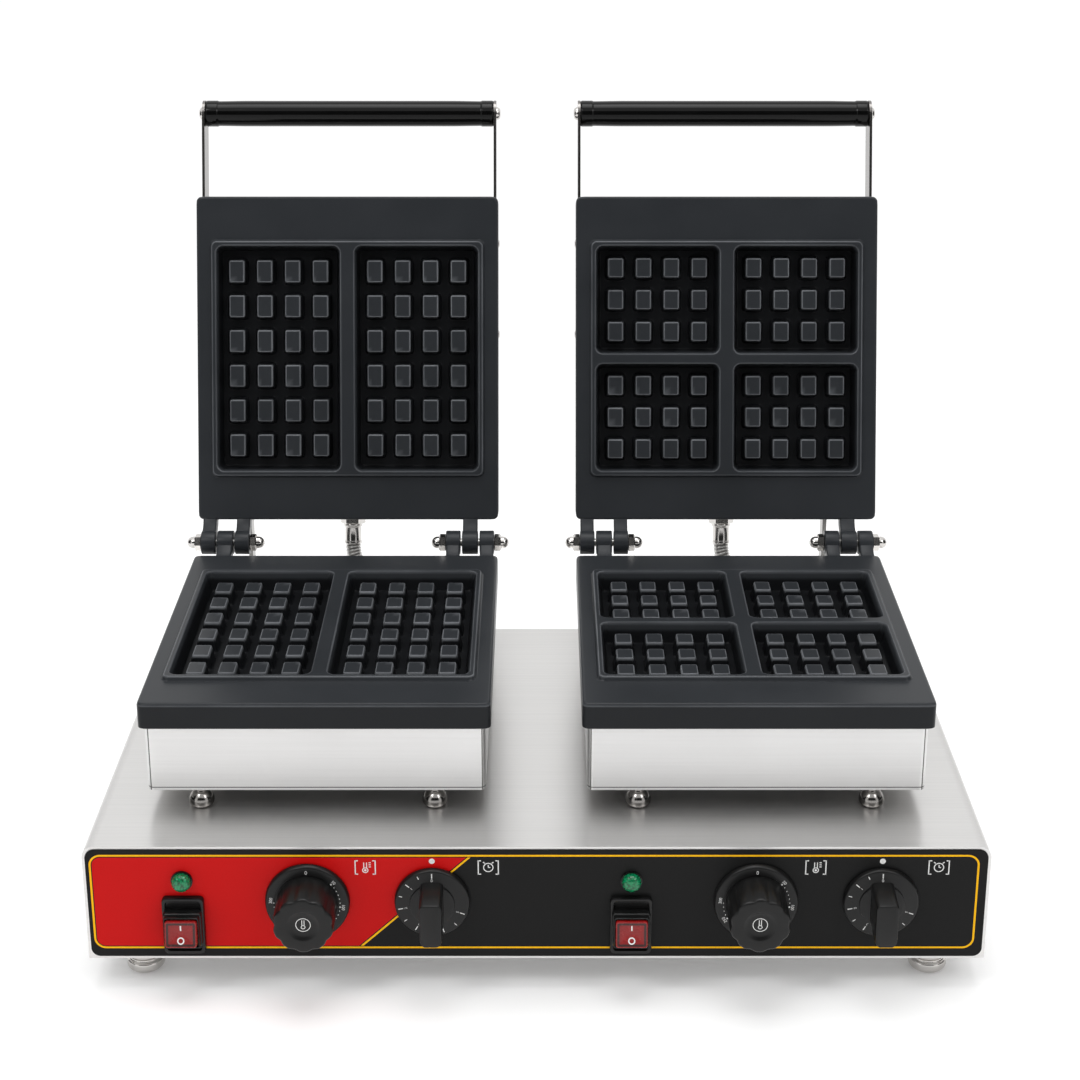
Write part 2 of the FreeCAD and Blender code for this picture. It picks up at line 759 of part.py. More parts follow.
def make_terminal_block():
    """Screw terminals for the supply wires, standing on the bottom panel"""
    body = new_body("terminal_block")
    up = "foot_height + panel_thickness"
    back = "base_depth - 2 * terminal_length"
    block = sketch(body, "XY_Plane", ("0", "0", up))
    rectangle(block, "gland_offset", back, "terminal_length", "terminal_width")
    pad(body, block, "terminal_height")
    way = sketch(body, "XY_Plane", ("0", "0", f"{up} + terminal_height"))
    ring(way, f"gland_offset - {(TERMINAL_WAYS - 1) / 2} * terminal_pitch", back, "terminal_hole")
    hole = pocket(body, way, "terminal_height / 2")
    repeat(body, hole, [row_of(body, "X_Axis", "terminal_pitch", TERMINAL_WAYS)])
    on_base("terminal_block", body)


PEG_COLUMNS = 4
CAVITY_COLUMNS = 2
CAVITY_WIDTH = "((rim_width - 2 * rim_wall - cavity_divider) / 2)"
CAVITY_FORMS = {
    "left": {"rows": 1, "pegs": 6, "kind": "long", "length": "(rim_length - 2 * rim_wall)"},
    "right": {"rows": 2, "pegs": 3, "kind": "short",
              "length": "((rim_length - 2 * rim_wall - cross_divider) / 2)"},
}


def make_plate(label, form):
    """Baking plate casting below the parting plane: flange, rim, cavities with pegs, and hinge lugs"""
    body = new_body(label)
    flange = sketch(body, "XY_Plane", ("0", "0", FLANGE_TOP))
    rectangle(flange, "0", PLATE_MIDDLE, "plate_width", "plate_length")
    pad(body, flange, "flange_thickness", back=True)
    round_edges(body, "plate_corner", lambda edge: runs_along(edge, ALONG_Z))
    rim = sketch(body, "XY_Plane", ("0", "0", FLANGE_TOP))
    rectangle(rim, "0", PLATE_MIDDLE, "rim_width", "rim_length")
    pad(body, rim, "rim_height")
    half = number("rim_width / 2")
    round_edges(body, "rim_corner", lambda edge: runs_along(edge, ALONG_Z)
                and abs(abs(edge.BoundBox.Center.x) - half) < NEAR)

    cavity = sketch(body, "XY_Plane", ("0", "0", "-parting_gap / 2"))
    across = f"((cavity_divider + {CAVITY_WIDTH}) / 2)"
    along = f"({PLATE_MIDDLE} - rim_length / 2 + rim_wall + {form['length']} / 2)"
    rectangle(cavity, across, along, CAVITY_WIDTH, form["length"])
    hole = pocket(body, cavity, "cavity_depth")
    bind(hole, "TaperAngle", "-cavity_draft")
    by_cavity = (("X_Axis", f"{CAVITY_WIDTH} + cavity_divider", CAVITY_COLUMNS, True),
                 ("Y_Axis", f"{form['length']} + cross_divider", form["rows"], False))
    repeat(body, hole, [row_of(body, *row) for row in by_cavity])

    floor = "(-parting_gap / 2 - cavity_depth)"
    base_length, top_length, pitch = (f"{form['kind']}_peg_{size}" for size in ("base", "top", "pitch"))
    first_x = f"{across} - {(PEG_COLUMNS - 1) / 2} * peg_pitch"
    first_y = f"{along} - {(form['pegs'] - 1) / 2} * {pitch}"
    root = sketch(body, "XY_Plane", ("0", "0", floor))
    rectangle(root, first_x, first_y, "peg_base_width", base_length)
    crown = sketch(body, "XY_Plane", ("0", "0", f"{floor} + peg_height"))
    rectangle(crown, first_x, first_y, "peg_top_width", top_length)
    peg = body.newObject("PartDesign::AdditiveLoft", "Peg")
    peg.Profile = root
    peg.Sections = [(crown, [""])]
    peg.Ruled = True
    in_cavity = (("X_Axis", "peg_pitch", PEG_COLUMNS, False), ("Y_Axis", pitch, form["pegs"], False))
    doc.recompute()
    repeat(body, peg, [row_of(body, *row) for row in in_cavity + by_cavity])

    ear_step = "(knuckle_width / 2 + ear_gap)"
    lugs = [
        (f"(-{HINGE_SIDE} - knuckle_width / 2)", "knuckle_width"),
        (f"({HINGE_SIDE} + {ear_step})", "ear_width"),
        (f"({HINGE_SIDE} - {ear_step} - ear_width)", "ear_width"),
    ]
    for start, width in lugs:
        web = sketch(body, "YZ_Plane", ("0", "0", start))
        outline(web, [
            (PLATE_REAR, FLANGE_TOP), (PLATE_REAR, f"{FLANGE_TOP} - web_depth"),
            ("0", "-knuckle_radius / 2"), ("0", "knuckle_radius / 2"),
        ])
        pad(body, web, width)
        eye = sketch(body, "YZ_Plane", ("0", "0", start))
        ring(eye, "0", "0", "knuckle_radius")
        pad(body, eye, width)
    bore = sketch(body, "YZ_Plane", ("0", "0", "-plate_width / 2"))
    ring(bore, "0", "0", "pin_radius + running_clearance")
    pocket(body, bore, "plate_width", back=True)
    return body


ARM_UP = f"({FLANGE_UNDER} - arm_gap - arm_width / 2)"
GRIP_BACK = f"({PLATE_FRONT} - grip_reach)"


def arm_screw_places():
    """The two screws of one handle arm in the side of the cover, from the arm's rear end"""
    rear = f"({GRIP_BACK} + arm_length)"
    return [f"({rear} - arm_width / 2)", f"({rear} - arm_width / 2 - arm_screw_pitch)"]


def make_tub(label, conduit_across):
    """Folded steel tub under a plate, with a hole in its rear wall for the conduit"""
    body = new_body(label)
    drawing = sketch(body, "XY_Plane", ("0", "0", FLANGE_UNDER))
    rectangle(drawing, "0", PLATE_MIDDLE, TUB_WIDTH, TUB_LENGTH)
    pad(body, drawing, "tub_depth", back=True)
    round_edges(body, "tub_corner", lambda edge: runs_along(edge, ALONG_Z))
    top = number(FLANGE_UNDER)
    hollow(body, "tub_wall", lambda face: face.BoundBox.ZMin > top - NEAR)
    way = sketch(body, "XZ_Plane", ("0", "0", f"-{TUB_REAR}"))
    ring(way, conduit_across, TUB_MIDDLE, "fitting_neck + hole_clearance")
    pocket(body, way, "tub_wall", back=True)
    return body


def make_housing(label):
    """Lower tub, with holes for the studs of its ball feet"""
    body = make_tub(label, "conduit_offset")
    studs = sketch(body, "XY_Plane", ("0", "0", f"{TUB_UNDER} + tub_wall"))
    for x, y in ball_foot_corners():
        ring(studs, x, y, "stud_radius + hole_clearance")
    pocket(body, studs, "tub_wall")
    return body


def make_cover(label):
    """Upper tub, with holes in both sides for the screws of the handle arms"""
    body = make_tub(label, "0")
    holes = sketch(body, "YZ_Plane", ("0", "0", f"-{TUB_WIDTH} / 2"))
    for y in arm_screw_places():
        ring(holes, y, ARM_UP, "screw_radius + hole_clearance")
    pocket(body, holes, TUB_WIDTH, back=True)
    return body


def bent_tube(label, points, radius, bend):
    """A round bar along straight runs joined by tangent arcs; bend gives an arc's radius or the largest"""
    corners = [Vector(*(number(part) for part in point)) for point in points]
    edges = []
    start = corners[0]
    length = 0.0
    for before, corner, after in zip(corners, corners[1:], corners[2:]):
        inward, outward = (before - corner), (after - corner)
        shorter = min(inward.Length, outward.Length)
        inward.normalize()
        outward.normalize()
        half_turn = (math.pi - inward.getAngle(outward)) / 2
        arc_radius = number(bend) if bend else ARC_SHARE * shorter / math.tan(half_turn)
        setback = arc_radius * math.tan(half_turn)
        middle_way = inward + outward
        middle_way.normalize()
        middle = corner + middle_way * (arc_radius / math.cos(half_turn) - arc_radius)
        arc_start, arc_end = corner + inward * setback, corner + outward * setback
        edges.append(Part.LineSegment(start, arc_start).toShape())
        edges.append(Part.Arc(arc_start, middle, arc_end).toShape())
        length += (arc_start - start).Length + 2 * half_turn * arc_radius
        start = arc_end
        print(f"{label}: arc radius {arc_radius:.1f}")
    edges.append(Part.LineSegment(start, corners[-1]).toShape())
    length += (corners[-1] - start).Length
    section = Part.Wire([Part.makeCircle(number(radius), corners[0], corners[1] - corners[0])])
    solid = Part.Wire(edges).makePipeShell([section], True, False)
    expected = math.pi * number(radius) ** 2 * length
    if abs(solid.Volume / expected - 1) > VOLUME_TOLERANCE:
        raise RuntimeError(f"{label}: volume {solid.Volume:.0f} where {expected:.0f} was expected")
    print(f"{label}: length {length:.1f}")
    tube = doc.addObject("Part::Feature", "Tube")
    tube.Label = label
    tube.Shape = solid
    return tube


def make_element(label):
    """Tubular heater bent to a U, held against the underside of the plate"""
    up = f"{FLANGE_UNDER} - element_gap - element_radius"
    rear = f"{TUB_REAR} - element_inset"
    front = f"{PLATE_FRONT} + tub_inset + element_inset"
    points = [("-element_spread", rear, up), ("-element_spread", front, up),
              ("element_spread", front, up), ("element_spread", rear, up)]
    return bent_tube(label, points, "element_radius", "element_bend")


CLAMP_TOP = f"({FLANGE_UNDER} - 2 * (element_gap + element_radius))"


def make_clamp(label):
    """Steel plate with four posts that presses the heater against the casting"""
    body = new_body(label)
    plate = sketch(body, "XY_Plane", ("0", "0", CLAMP_TOP))
    width = f"{TUB_WIDTH} - 2 * (tub_wall + clamp_margin)"
    length = f"{TUB_LENGTH} - 2 * (tub_wall + clamp_margin)"
    rectangle(plate, "0", PLATE_MIDDLE, width, length)
    pad(body, plate, "clamp_thickness", back=True)
    posts = sketch(body, "XY_Plane", ("0", "0", CLAMP_TOP))
    for side in (-1, 1):
        for end in (-1, 1):
            ring(posts, f"{side} * ({width}) / 2 - {side} * clamp_post_inset",
                 f"{PLATE_MIDDLE} + {end} * (({length}) / 2 - clamp_post_inset)", "clamp_post_radius")
    pad(body, posts, "2 * (element_gap + element_radius)")
    return body


def make_station_feet(label):
    """Ball feet between a lower tub and the base, with a stud at either end"""
    pieces = []
    low = f"({TUB_UNDER} - ball_foot_height)"
    for x, y in ball_foot_corners():
        body = new_body("ball_foot")
        profile = [
            ("0", f"{low} - stud_length"), ("stud_radius", f"{low} - stud_length"), ("stud_radius", low),
            ("ball_foot_radius", low), ("ball_foot_radius", TUB_UNDER), ("stud_radius", TUB_UNDER),
            ("stud_radius", f"{TUB_UNDER} + stud_length"), ("0", f"{TUB_UNDER} + stud_length"),
        ]
        turned(body, "XZ_Plane", (x, "0", f"-{y}"), profile)
        wide = number("2 * ball_foot_radius") - NEAR
        round_edges(body, "ball_foot_round", lambda edge: edge.BoundBox.XLength > wide
                    and edge.BoundBox.ZLength < NEAR)
        pieces.append(body)
    return group(label, pieces)


NUT_FACE = "(knuckle_width / 2 + ear_gap + ear_width + nut_play)"


def make_hinge_pins(label):
    """One pin for each of the two hinges"""
    pieces = []
    reach = f"({NUT_FACE} + nut_thread_depth)"
    for side in (-1, 1):
        pin = doc.addObject("Part::Cylinder", "HingePin")
        pin.Placement = FreeCAD.Placement(Vector(), FreeCAD.Rotation(ALONG_Y, 90))
        bind(pin, "Radius", "pin_radius")
        bind(pin, "Height", f"2 * {reach}")
        bind(pin, "Placement.Base.x", f"{side} * {HINGE_SIDE} - {reach}")
        pieces.append(pin)
    return group(label, pieces)


HEX_CORNERS = 6


def make_hinge_nuts(label):
    """Domed cap nuts on both ends of both pins"""
    pieces = []
    for hinge in (-1, 1):
        for way in (-1, 1):
            inner = way < 0
            face = f"({hinge} * {HINGE_SIDE} + {way} * {NUT_FACE})"
            body = new_body("hinge_nut")
            hexagon = sketch(body, "YZ_Plane", ("0", "0", face))
            turns = [360 / HEX_CORNERS * step for step in range(HEX_CORNERS)]
            corner = f"(nut_flats / (2 * cos({180 / HEX_CORNERS}deg)))"
            outline(hexagon, [(f"{corner} * cos({turn}deg)", f"{corner} * sin({turn}deg)") for turn in turns])
            pad(body, hexagon, "nut_length", back=inner)
            dome = sketch(body, "YZ_Plane", ("0", "0", face))
            ring(dome, "0", "0", "nut_dome_radius")
            pad(body, dome, "nut_length + nut_dome_length", back=inner)
            tip = number(f"{face} + {way} * (nut_length + nut_dome_length)")
            round_edges(body, "nut_dome_radius - 2 * hole_clearance",
                        lambda edge: abs(edge.BoundBox.Center.x - tip) < NEAR)
            thread = sketch(body, "YZ_Plane", ("0", "0", face))
            ring(thread, "0", "0", "pin_radius + running_clearance")
            pocket(body, thread, "nut_thread_depth + hole_clearance", back=not inner)
            pieces.append(body)
    return group(label, pieces)


def make_lid_stop(label, side):
    """Bent bar on the rear wall of the housing, on which the open lid's cover comes to rest"""
    body = new_body(label)
    middle = f"({side} * stop_offset)"
    drawing = sketch(body, "YZ_Plane", ("0", "0", f"{middle} - stop_thickness / 2"))
    low, high = f"({TUB_MIDDLE} - stop_width / 2)", f"({TUB_MIDDLE} + stop_width / 2)"
    near, far = "stop_reach", "(stop_reach + stop_width)"

    def under_cover(back):
        forward = f"(-{TUB_REAR} - stop_clearance + {back} * cos(lid_open_angle * 1deg))"
        return f"({forward} / sin(lid_open_angle * 1deg))"

    outline(drawing, [(TUB_REAR, low), (far, low), (far, under_cover(far)),
                      (near, under_cover(near)), (near, high), (TUB_REAR, high)])
    pad(body, drawing, "stop_thickness")
    tab = sketch(body, "XZ_Plane", ("0", "0", f"-{TUB_REAR}"))
    rectangle(tab, f"{middle} - {side} * stop_tab / 2", TUB_MIDDLE, "stop_tab", "stop_width")
    pad(body, tab, "stop_thickness", back=True)
    return body


FITTING_LENGTH = "(fitting_nut_length + ferrule_length)"


def make_fitting(label, across):
    """Conduit fitting on the rear wall of a tub: neck, nut and ferrule"""
    body = new_body(label)
    nut_end = f"{TUB_REAR} + fitting_nut_length"
    inner = f"{TUB_REAR} - tub_wall - fitting_neck_length"
    profile = [
        ("fitting_bore", inner), ("fitting_neck", inner), ("fitting_neck", TUB_REAR),
        ("fitting_nut_radius", TUB_REAR), ("fitting_nut_radius", nut_end), ("ferrule_radius", nut_end),
        ("ferrule_radius", f"{TUB_REAR} + {FITTING_LENGTH}"),
        ("fitting_bore", f"{TUB_REAR} + {FITTING_LENGTH}"),
    ]
    turned(body, "XY_Plane", (across, "0", TUB_MIDDLE), profile)
    return body


def make_conduit(label):
    """Flexible metal hose from the ferrule on the open lid, round to the one on the housing"""
    cosine, sine = "cos(lid_open_angle * 1deg)", "sin(lid_open_angle * 1deg)"

    def on_open_lid(back):
        """A point of the cover's fitting axis when the lid stands open"""
        behind = f"{back} * {cosine} - {TUB_MIDDLE} * {sine}"
        return "0", behind, f"-({back}) * {sine} - {TUB_MIDDLE} * {cosine}"

    end = f"({TUB_REAR} + {FITTING_LENGTH})"
    points = [
        on_open_lid(end), on_open_lid(f"({end} + conduit_lead)"),
        ("conduit_offset", f"{end} + conduit_lead", TUB_MIDDLE), ("conduit_offset", end, TUB_MIDDLE),
    ]
    return bent_tube(label, points, "conduit_radius", None)


def make_handle_arms(label):
    """Flat bars with round ends, one on either side of the cover"""
    pieces = []
    for side in (-1, 1):
        body = new_body("handle_arm")
        start = f"{side} * ({TUB_WIDTH} / 2 + arm_thickness / 2) - arm_thickness / 2"
        bar = sketch(body, "YZ_Plane", ("0", "0", start))
        length = "(arm_length + arm_width / 2)"
        rectangle(bar, f"{GRIP_BACK} - arm_width / 2 + {length} / 2", ARM_UP, length, "arm_width")
        ring(bar, GRIP_BACK, ARM_UP, "grip_screw_radius + hole_clearance")
        for y in arm_screw_places():
            ring(bar, y, ARM_UP, "screw_radius + hole_clearance")
        pad(body, bar, "arm_thickness")
        round_edges(body, "arm_width / 2 - hole_clearance", lambda edge: runs_along(edge, ALONG_X))
        pieces.append(body)
    return group(label, pieces)


def make_grip(label):
    """Round grip between the two arms, with a screw hole in either end"""
    body = new_body(label)
    half = f"({TUB_WIDTH} / 2)"
    hole, deep = "grip_screw_radius + running_clearance", f"({half} - grip_screw_length)"
    edge, rim = "(grip_radius - grip_chamfer)", f"({half} - grip_chamfer)"
    profile = [
        (f"-{deep}", "0"), (f"-{deep}", hole), (f"-{half}", hole), (f"-{half}", edge),
        (f"-{rim}", "grip_radius"),
        (rim, "grip_radius"), (half, edge), (half, hole), (deep, hole), (deep, "0"),
    ]
    turned(body, "XY_Plane", ("0", GRIP_BACK, ARM_UP), profile, axis="H_Axis")
    return body


def side_screw(side, back, head_radius, head_height, shank_radius, shank_length):
    """A dome-head screw through an arm, driven from outside"""
    body = new_body("handle_screw")
    profile = [
        (f"-{side} * ({shank_length})", "0"), (f"-{side} * ({shank_length})", shank_radius),
        ("0", shank_radius),
        ("0", head_radius), (f"{side} * {head_height}", head_radius), (f"{side} * {head_height}", "0"),
    ]
    under_head = f"{side} * ({TUB_WIDTH} / 2 + arm_thickness)"
    turned(body, "XY_Plane", (under_head, back, ARM_UP), profile, axis="H_Axis")
    tip = abs(number(f"{TUB_WIDTH} / 2 + arm_thickness + {head_height}"))
    dome = f"{head_height} - hole_clearance"
    round_edges(body, dome, lambda edge: abs(edge.BoundBox.Center.x) > tip - NEAR)
    return body


def make_handle_screws(label):
    """Screws of the grip, and those of the arms in the cover"""
    pieces = []
    for side in (-1, 1):
        pieces.append(side_screw(side, GRIP_BACK, "grip_head_radius", "grip_head_height",
                                 "grip_screw_radius", "grip_screw_length"))
        for back in arm_screw_places():
            pieces.append(side_screw(side, back, "screw_head_radius", "screw_head_height",
                                     "screw_radius", "screw_length"))
    return group(label, pieces)


def make_thermostat_bulbs():
    """Sensing bulbs of the thermostats, under the lower clamp plates"""
    pieces = []
    for side in STATIONS.values():
        bulb = doc.addObject("Part::Cylinder", "Bulb")
        bulb.Placement = FreeCAD.Placement(Vector(), FreeCAD.Rotation(ALONG_X, 90))
        bind(bulb, "Radius", "bulb_radius")
        bind(bulb, "Height", "bulb_length")
        bind(bulb, "Placement.Base.x", f"{side} * station_pitch / 2")
        bind(bulb, "Placement.Base.y", f"{HINGE_BACK} + {PLATE_MIDDLE} + bulb_length / 2")
        under_clamp = f"{CLAMP_TOP} - clamp_thickness - element_gap"
        bind(bulb, "Placement.Base.z", f"{HINGE_UP} + {under_clamp} - bulb_radius")
        pieces.append(bulb)
    on_base("thermostat_bulbs", group("thermostat_bulbs", pieces))


def make_station(name, side):
    """One baking station: what stands on the base, then the lid"""
    form = CAVITY_FORMS[name]
    lower = {
        "lower_plate": lambda label: make_plate(label, form),
        "lower_housing": make_housing,
        "lower_element": make_element,
        "lower_clamp_plate": make_clamp,
        "station_feet": make_station_feet,
        "hinge_pins": make_hinge_pins,
        "hinge_nuts": make_hinge_nuts,
        "lid_stop": lambda label: make_lid_stop(label, side),
        "lower_conduit_fitting": lambda label: make_fitting(label, "conduit_offset"),
        "conduit": make_conduit,
    }
    lid = {
        "upper_plate": lambda label: make_plate(label, form),
        "upper_cover": make_cover,
        "upper_element": make_element,
        "upper_clamp_plate": make_clamp,
        "handle_arms": make_handle_arms,
        "grip": make_grip,
        "handle_screws": make_handle_screws,
        "upper_conduit_fitting": lambda label: make_fitting(label, "0"),
    }
    for piece, make in lower.items():
        label = f"{name}_{piece}"
        on_station(label, make(label), side)
    for piece, make in lid.items():
        label = f"{name}_{piece}"
        on_lid(label, make(label), side)


make_base_shell()
make_bottom_panel()
make_panel_screws()
make_base_feet()
make_overlay()
make_indicators()
make_switch_housings()
make_control_bodies("thermostat_bodies", "knob_offset", "thermostat_width", "thermostat_depth")
make_control_bodies("timer_bodies", "timer_offset", "timer_width", "timer_depth")
make_cord_gland()
make_terminal_block()
make_thermostat_bulbs()
for station, direction in STATIONS.items():
    make_rocker(station, direction)
    make_temperature_knob(station, direction)
    make_spindle(f"{station}_temperature_spindle", direction, "knob_offset")
    make_timer_knob(station, direction)
    make_spindle(f"{station}_timer_spindle", direction, "timer_offset")
    make_station(station, direction)
doc.recompute()

for thing in doc.Objects:
    if "Invalid" in thing.State or "Error" in thing.State:
        raise RuntimeError(f"{thing.Label} failed: {thing.State}")
for label, part in nodes.items():
    if part.Shape.isNull() or not part.Shape.isValid() or not part.Shape.Solids:
        raise RuntimeError(f"{label} has no valid solid")

os.makedirs("parts", exist_ok=True)
for label, part in nodes.items():
    part.Shape.exportStep(f"parts/{label}.step")
print(f"{len(nodes)} parts written")
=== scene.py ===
import json
import math

import bmesh
import bpy
import numpy as np
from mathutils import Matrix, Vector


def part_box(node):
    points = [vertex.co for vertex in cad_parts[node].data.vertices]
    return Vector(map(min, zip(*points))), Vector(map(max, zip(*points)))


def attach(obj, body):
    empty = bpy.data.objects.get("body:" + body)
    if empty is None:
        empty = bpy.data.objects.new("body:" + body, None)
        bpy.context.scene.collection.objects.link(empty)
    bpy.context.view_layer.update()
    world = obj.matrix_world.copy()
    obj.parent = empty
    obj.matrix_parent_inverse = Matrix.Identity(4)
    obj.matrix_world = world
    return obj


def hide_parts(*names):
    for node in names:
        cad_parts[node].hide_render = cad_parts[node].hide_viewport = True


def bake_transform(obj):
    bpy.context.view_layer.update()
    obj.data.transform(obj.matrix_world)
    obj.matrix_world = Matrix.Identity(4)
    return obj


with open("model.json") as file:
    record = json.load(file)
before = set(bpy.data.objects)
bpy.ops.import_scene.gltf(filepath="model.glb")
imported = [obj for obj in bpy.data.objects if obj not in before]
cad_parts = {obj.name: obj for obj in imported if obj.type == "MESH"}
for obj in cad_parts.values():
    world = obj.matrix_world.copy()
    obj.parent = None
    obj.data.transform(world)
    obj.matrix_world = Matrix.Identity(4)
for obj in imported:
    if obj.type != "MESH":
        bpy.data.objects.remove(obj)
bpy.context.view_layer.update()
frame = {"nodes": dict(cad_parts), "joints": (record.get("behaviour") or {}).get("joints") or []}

mm = 0.001

# Base box: one folded sheet of stainless steel, brushed from side to side, closed below by a flat panel.
# The panel is held to the box's inner lips by pan-head screws.


def give(socket, value):
    """Gives a socket a plain value, a colour of three numbers, or another node's output"""
    if isinstance(value, bpy.types.NodeSocket):
        socket.id_data.links.new(value, socket)
    elif socket.type == "RGBA":
        socket.default_value = (*value, 1)
    else:
        socket.default_value = value


def node(tree, kind, inputs, **settings):
    """The outputs of a new shader node with these settings and inputs"""
    made = tree.nodes.new("ShaderNode" + kind)
    for name, value in settings.items():
        setattr(made, name, value)
    for name, value in inputs.items():
        give(made.inputs[name], value)
    return made.outputs


def vectors(operation, *values):
    """One step of arithmetic between vectors, of which the first is a node's output"""
    made = node(values[0].id_data, "VectorMath", dict(enumerate(values)), operation=operation)
    return made["Value" if operation in ("LENGTH", "DOT_PRODUCT") else "Vector"]


def mixed(share, start, end):
    """A colour that goes from one to another with the share"""
    return node(share.id_data, "Mix", {0: share, 6: start, 7: end}, data_type="RGBA")[2]


def ranged(share, start, end):
    """A number that goes from one to another with the share"""
    return node(share.id_data, "MapRange", {"Value": share, "To Min": start, "To Max": end})[0]


def raised(height, strength, distance):
    """A normal that leans as the height rises and falls"""
    return node(height.id_data, "Bump", {"Height": height, "Strength": strength, "Distance": distance})[0]


def noise(place, scale, detail):
    """Soft noise over the place, from 0 to 1"""
    return node(place.id_data, "TexNoise", {"Vector": place, "Scale": scale, "Detail": detail})["Fac"]


def feed(shader, **values):
    """Gives the Principled shader's sockets, each named by its words in lower case"""
    for words, value in values.items():
        give(shader.inputs[words.replace("_", " ").title().replace("Ior", "IOR")], value)


def new_material(name, **values):
    """A material with one Principled shader, and the object's own coordinates for its patterns"""
    material = bpy.data.materials.new(name)
    material.use_nodes = True
    shader = material.node_tree.nodes["Principled BSDF"]
    feed(shader, **values)
    return material, shader, node(material.node_tree, "TexCoord", {})["Object"]


def new_group(name, inputs, outputs):
    """An empty shader node group: its tree, what it is given and where its results go"""
    group = bpy.data.node_groups.new(name, "ShaderNodeTree")
    for way, sockets in (("INPUT", inputs), ("OUTPUT", outputs)):
        for socket, kind in sockets.items():
            group.interface.new_socket(name=socket, in_out=way, socket_type="NodeSocket" + kind)
    return group, group.nodes.new("NodeGroupInput").outputs, group.nodes.new("NodeGroupOutput").inputs


def make_brushed_grain():
    """Brush marks: noise squeezed across the brushing and drawn out along it, over broad soft clouds"""
    group, given, result = new_group("brushed grain", {"Vector": "Vector", "Stretch": "Vector"},
                                     {"Tone": "Float", "Clouds": "Float"})
    drawn = vectors("MULTIPLY", given["Vector"], given["Stretch"])
    give(result["Tone"], noise(drawn, 1.0, 4.0))
    give(result["Clouds"], noise(given["Vector"], 7.0, 2.0))
    return group


def brushed_steel(name, stretch, pale, dark, smooth, rough, depth, blur=None):
    """Brushed sheet: colour and roughness follow the raised brush marks, which may blur one way more"""
    material, shader, place = new_material(name, metallic=1.0)
    grain = node(place.id_data, "Group", {"Vector": place, "Stretch": stretch}, node_tree=brushed_grain)
    feed(shader, base_color=mixed(grain["Tone"], dark, pale),
         roughness=ranged(grain["Clouds"], smooth, rough), normal=raised(grain["Tone"], depth, 0.1 * mm))
    if blur is not None:
        way = node(place.id_data, "CombineXYZ", dict(zip("XYZ", blur)))
        feed(shader, anisotropic=0.7, tangent=way[0])
    return material


def dress(material, *names):
    """Gives CAD nodes their finish"""
    for name in names:
        slots = frame["nodes"][name].data.materials
        slots.clear()
        slots.append(material)


STATIONS = ("left", "right")
brushed_grain = make_brushed_grain()
base_steel = brushed_steel("base sheet steel", (9.0, 900.0, 900.0), (0.73, 0.72, 0.71), (0.63, 0.625, 0.615),
                           0.28, 0.36, 0.06, blur=(0.0, 1.0, 0.0))
bright_metal = brushed_steel("bright nickel", (160.0, 160.0, 160.0), (0.68, 0.66, 0.64), (0.58, 0.56, 0.54),
                             0.08, 0.16, 0.04)
dress(base_steel, "base_shell", "base_bottom_panel")
dress(bright_metal, "bottom_panel_screws")

# Base feet: four turned and nickel-plated feet, screwed up through the bottom panel.
# Each is a wide tread with a rounded edge, a groove, and a narrower neck under the panel.

MERGE = 0.001 * mm
SHARP_ANGLE = math.radians(38)


def skin(rings):
    """Surface over a stack of closed rings: rings[i, j] is point j round ring i, and both ends are closed"""
    count, around = rings.shape[:2]
    i, j = np.meshgrid(np.arange(count - 1), np.arange(around), indexing="ij")
    k = (j + 1) % around
    quads = np.stack([i * around + j, i * around + k, (i + 1) * around + k, (i + 1) * around + j], -1)
    ends = [np.arange(around)[::-1].tolist(), (np.arange(around) + (count - 1) * around).tolist()]
    return rings.reshape(-1, 3), quads.reshape(-1, 4).tolist() + ends


def softened(points, radius, steps=5):
    """Open outline whose inner corners become short curves: each is a quadratic curve of that setback"""
    points = np.asarray(points, float)
    share = np.linspace(0, 1, steps)[:, None]
    parts = [points[:1]]
    for before, corner, after in zip(points, points[1:], points[2:]):
        ways = [before - corner, after - corner]
        start, end = (corner + way * min(radius / np.linalg.norm(way), 0.48) for way in ways)
        parts.append((1 - share) ** 2 * start + 2 * share * (1 - share) * corner + share ** 2 * end)
    return np.concatenate(parts + [points[-1:]])


def even_turns(count):
    """Angles evenly round a full turn"""
    return np.linspace(0, 2 * np.pi, count, endpoint=False)


def turned(profile, centre, axis, around=40):
    """Lathe surface: ring i has radius profile[i, 0] and stands profile[i, 1] along the axis"""
    axis = np.asarray(axis, float)
    side = np.cross(axis, (0, 0, 1) if abs(axis[2]) < 0.9 else (1, 0, 0))
    side /= np.linalg.norm(side)
    turn = even_turns(around)[:, None]
    ring = np.cos(turn) * side + np.sin(turn) * np.cross(axis, side)
    radius, along = np.asarray(profile, float).T[:, :, None, None]
    return skin(np.asarray(centre) + along * axis + radius * ring)


def piece(name, surfaces, material, body, **attributes):
    """One object from several surfaces: seams merged, faces turned outwards, smooth up to an angle"""
    points = [surface[0] for surface in surfaces]
    starts = np.cumsum([0] + [len(part) for part in points])
    faces = [[corner + start for corner in face] for start, part in zip(starts, surfaces) for face in part[1]]
    mesh = bpy.data.meshes.new(name)
    mesh.from_pydata(np.concatenate(points).tolist(), [], faces)
    for label, values in attributes.items():
        layer = mesh.attributes.new(label, "FLOAT", "POINT")
        layer.data.foreach_set("value", np.asarray(values, np.float32))
    work = bmesh.new()
    work.from_mesh(mesh)
    bmesh.ops.remove_doubles(work, verts=work.verts, dist=MERGE)
    bmesh.ops.recalc_face_normals(work, faces=work.faces)
    work.to_mesh(mesh)
    work.free()
    mesh.shade_smooth()
    mesh.set_sharp_from_angle(angle=SHARP_ANGLE)
    mesh.materials.append(material)
    made = bpy.data.objects.new(name, mesh)
    bpy.context.scene.collection.objects.link(made)
    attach(made, body)
    return made


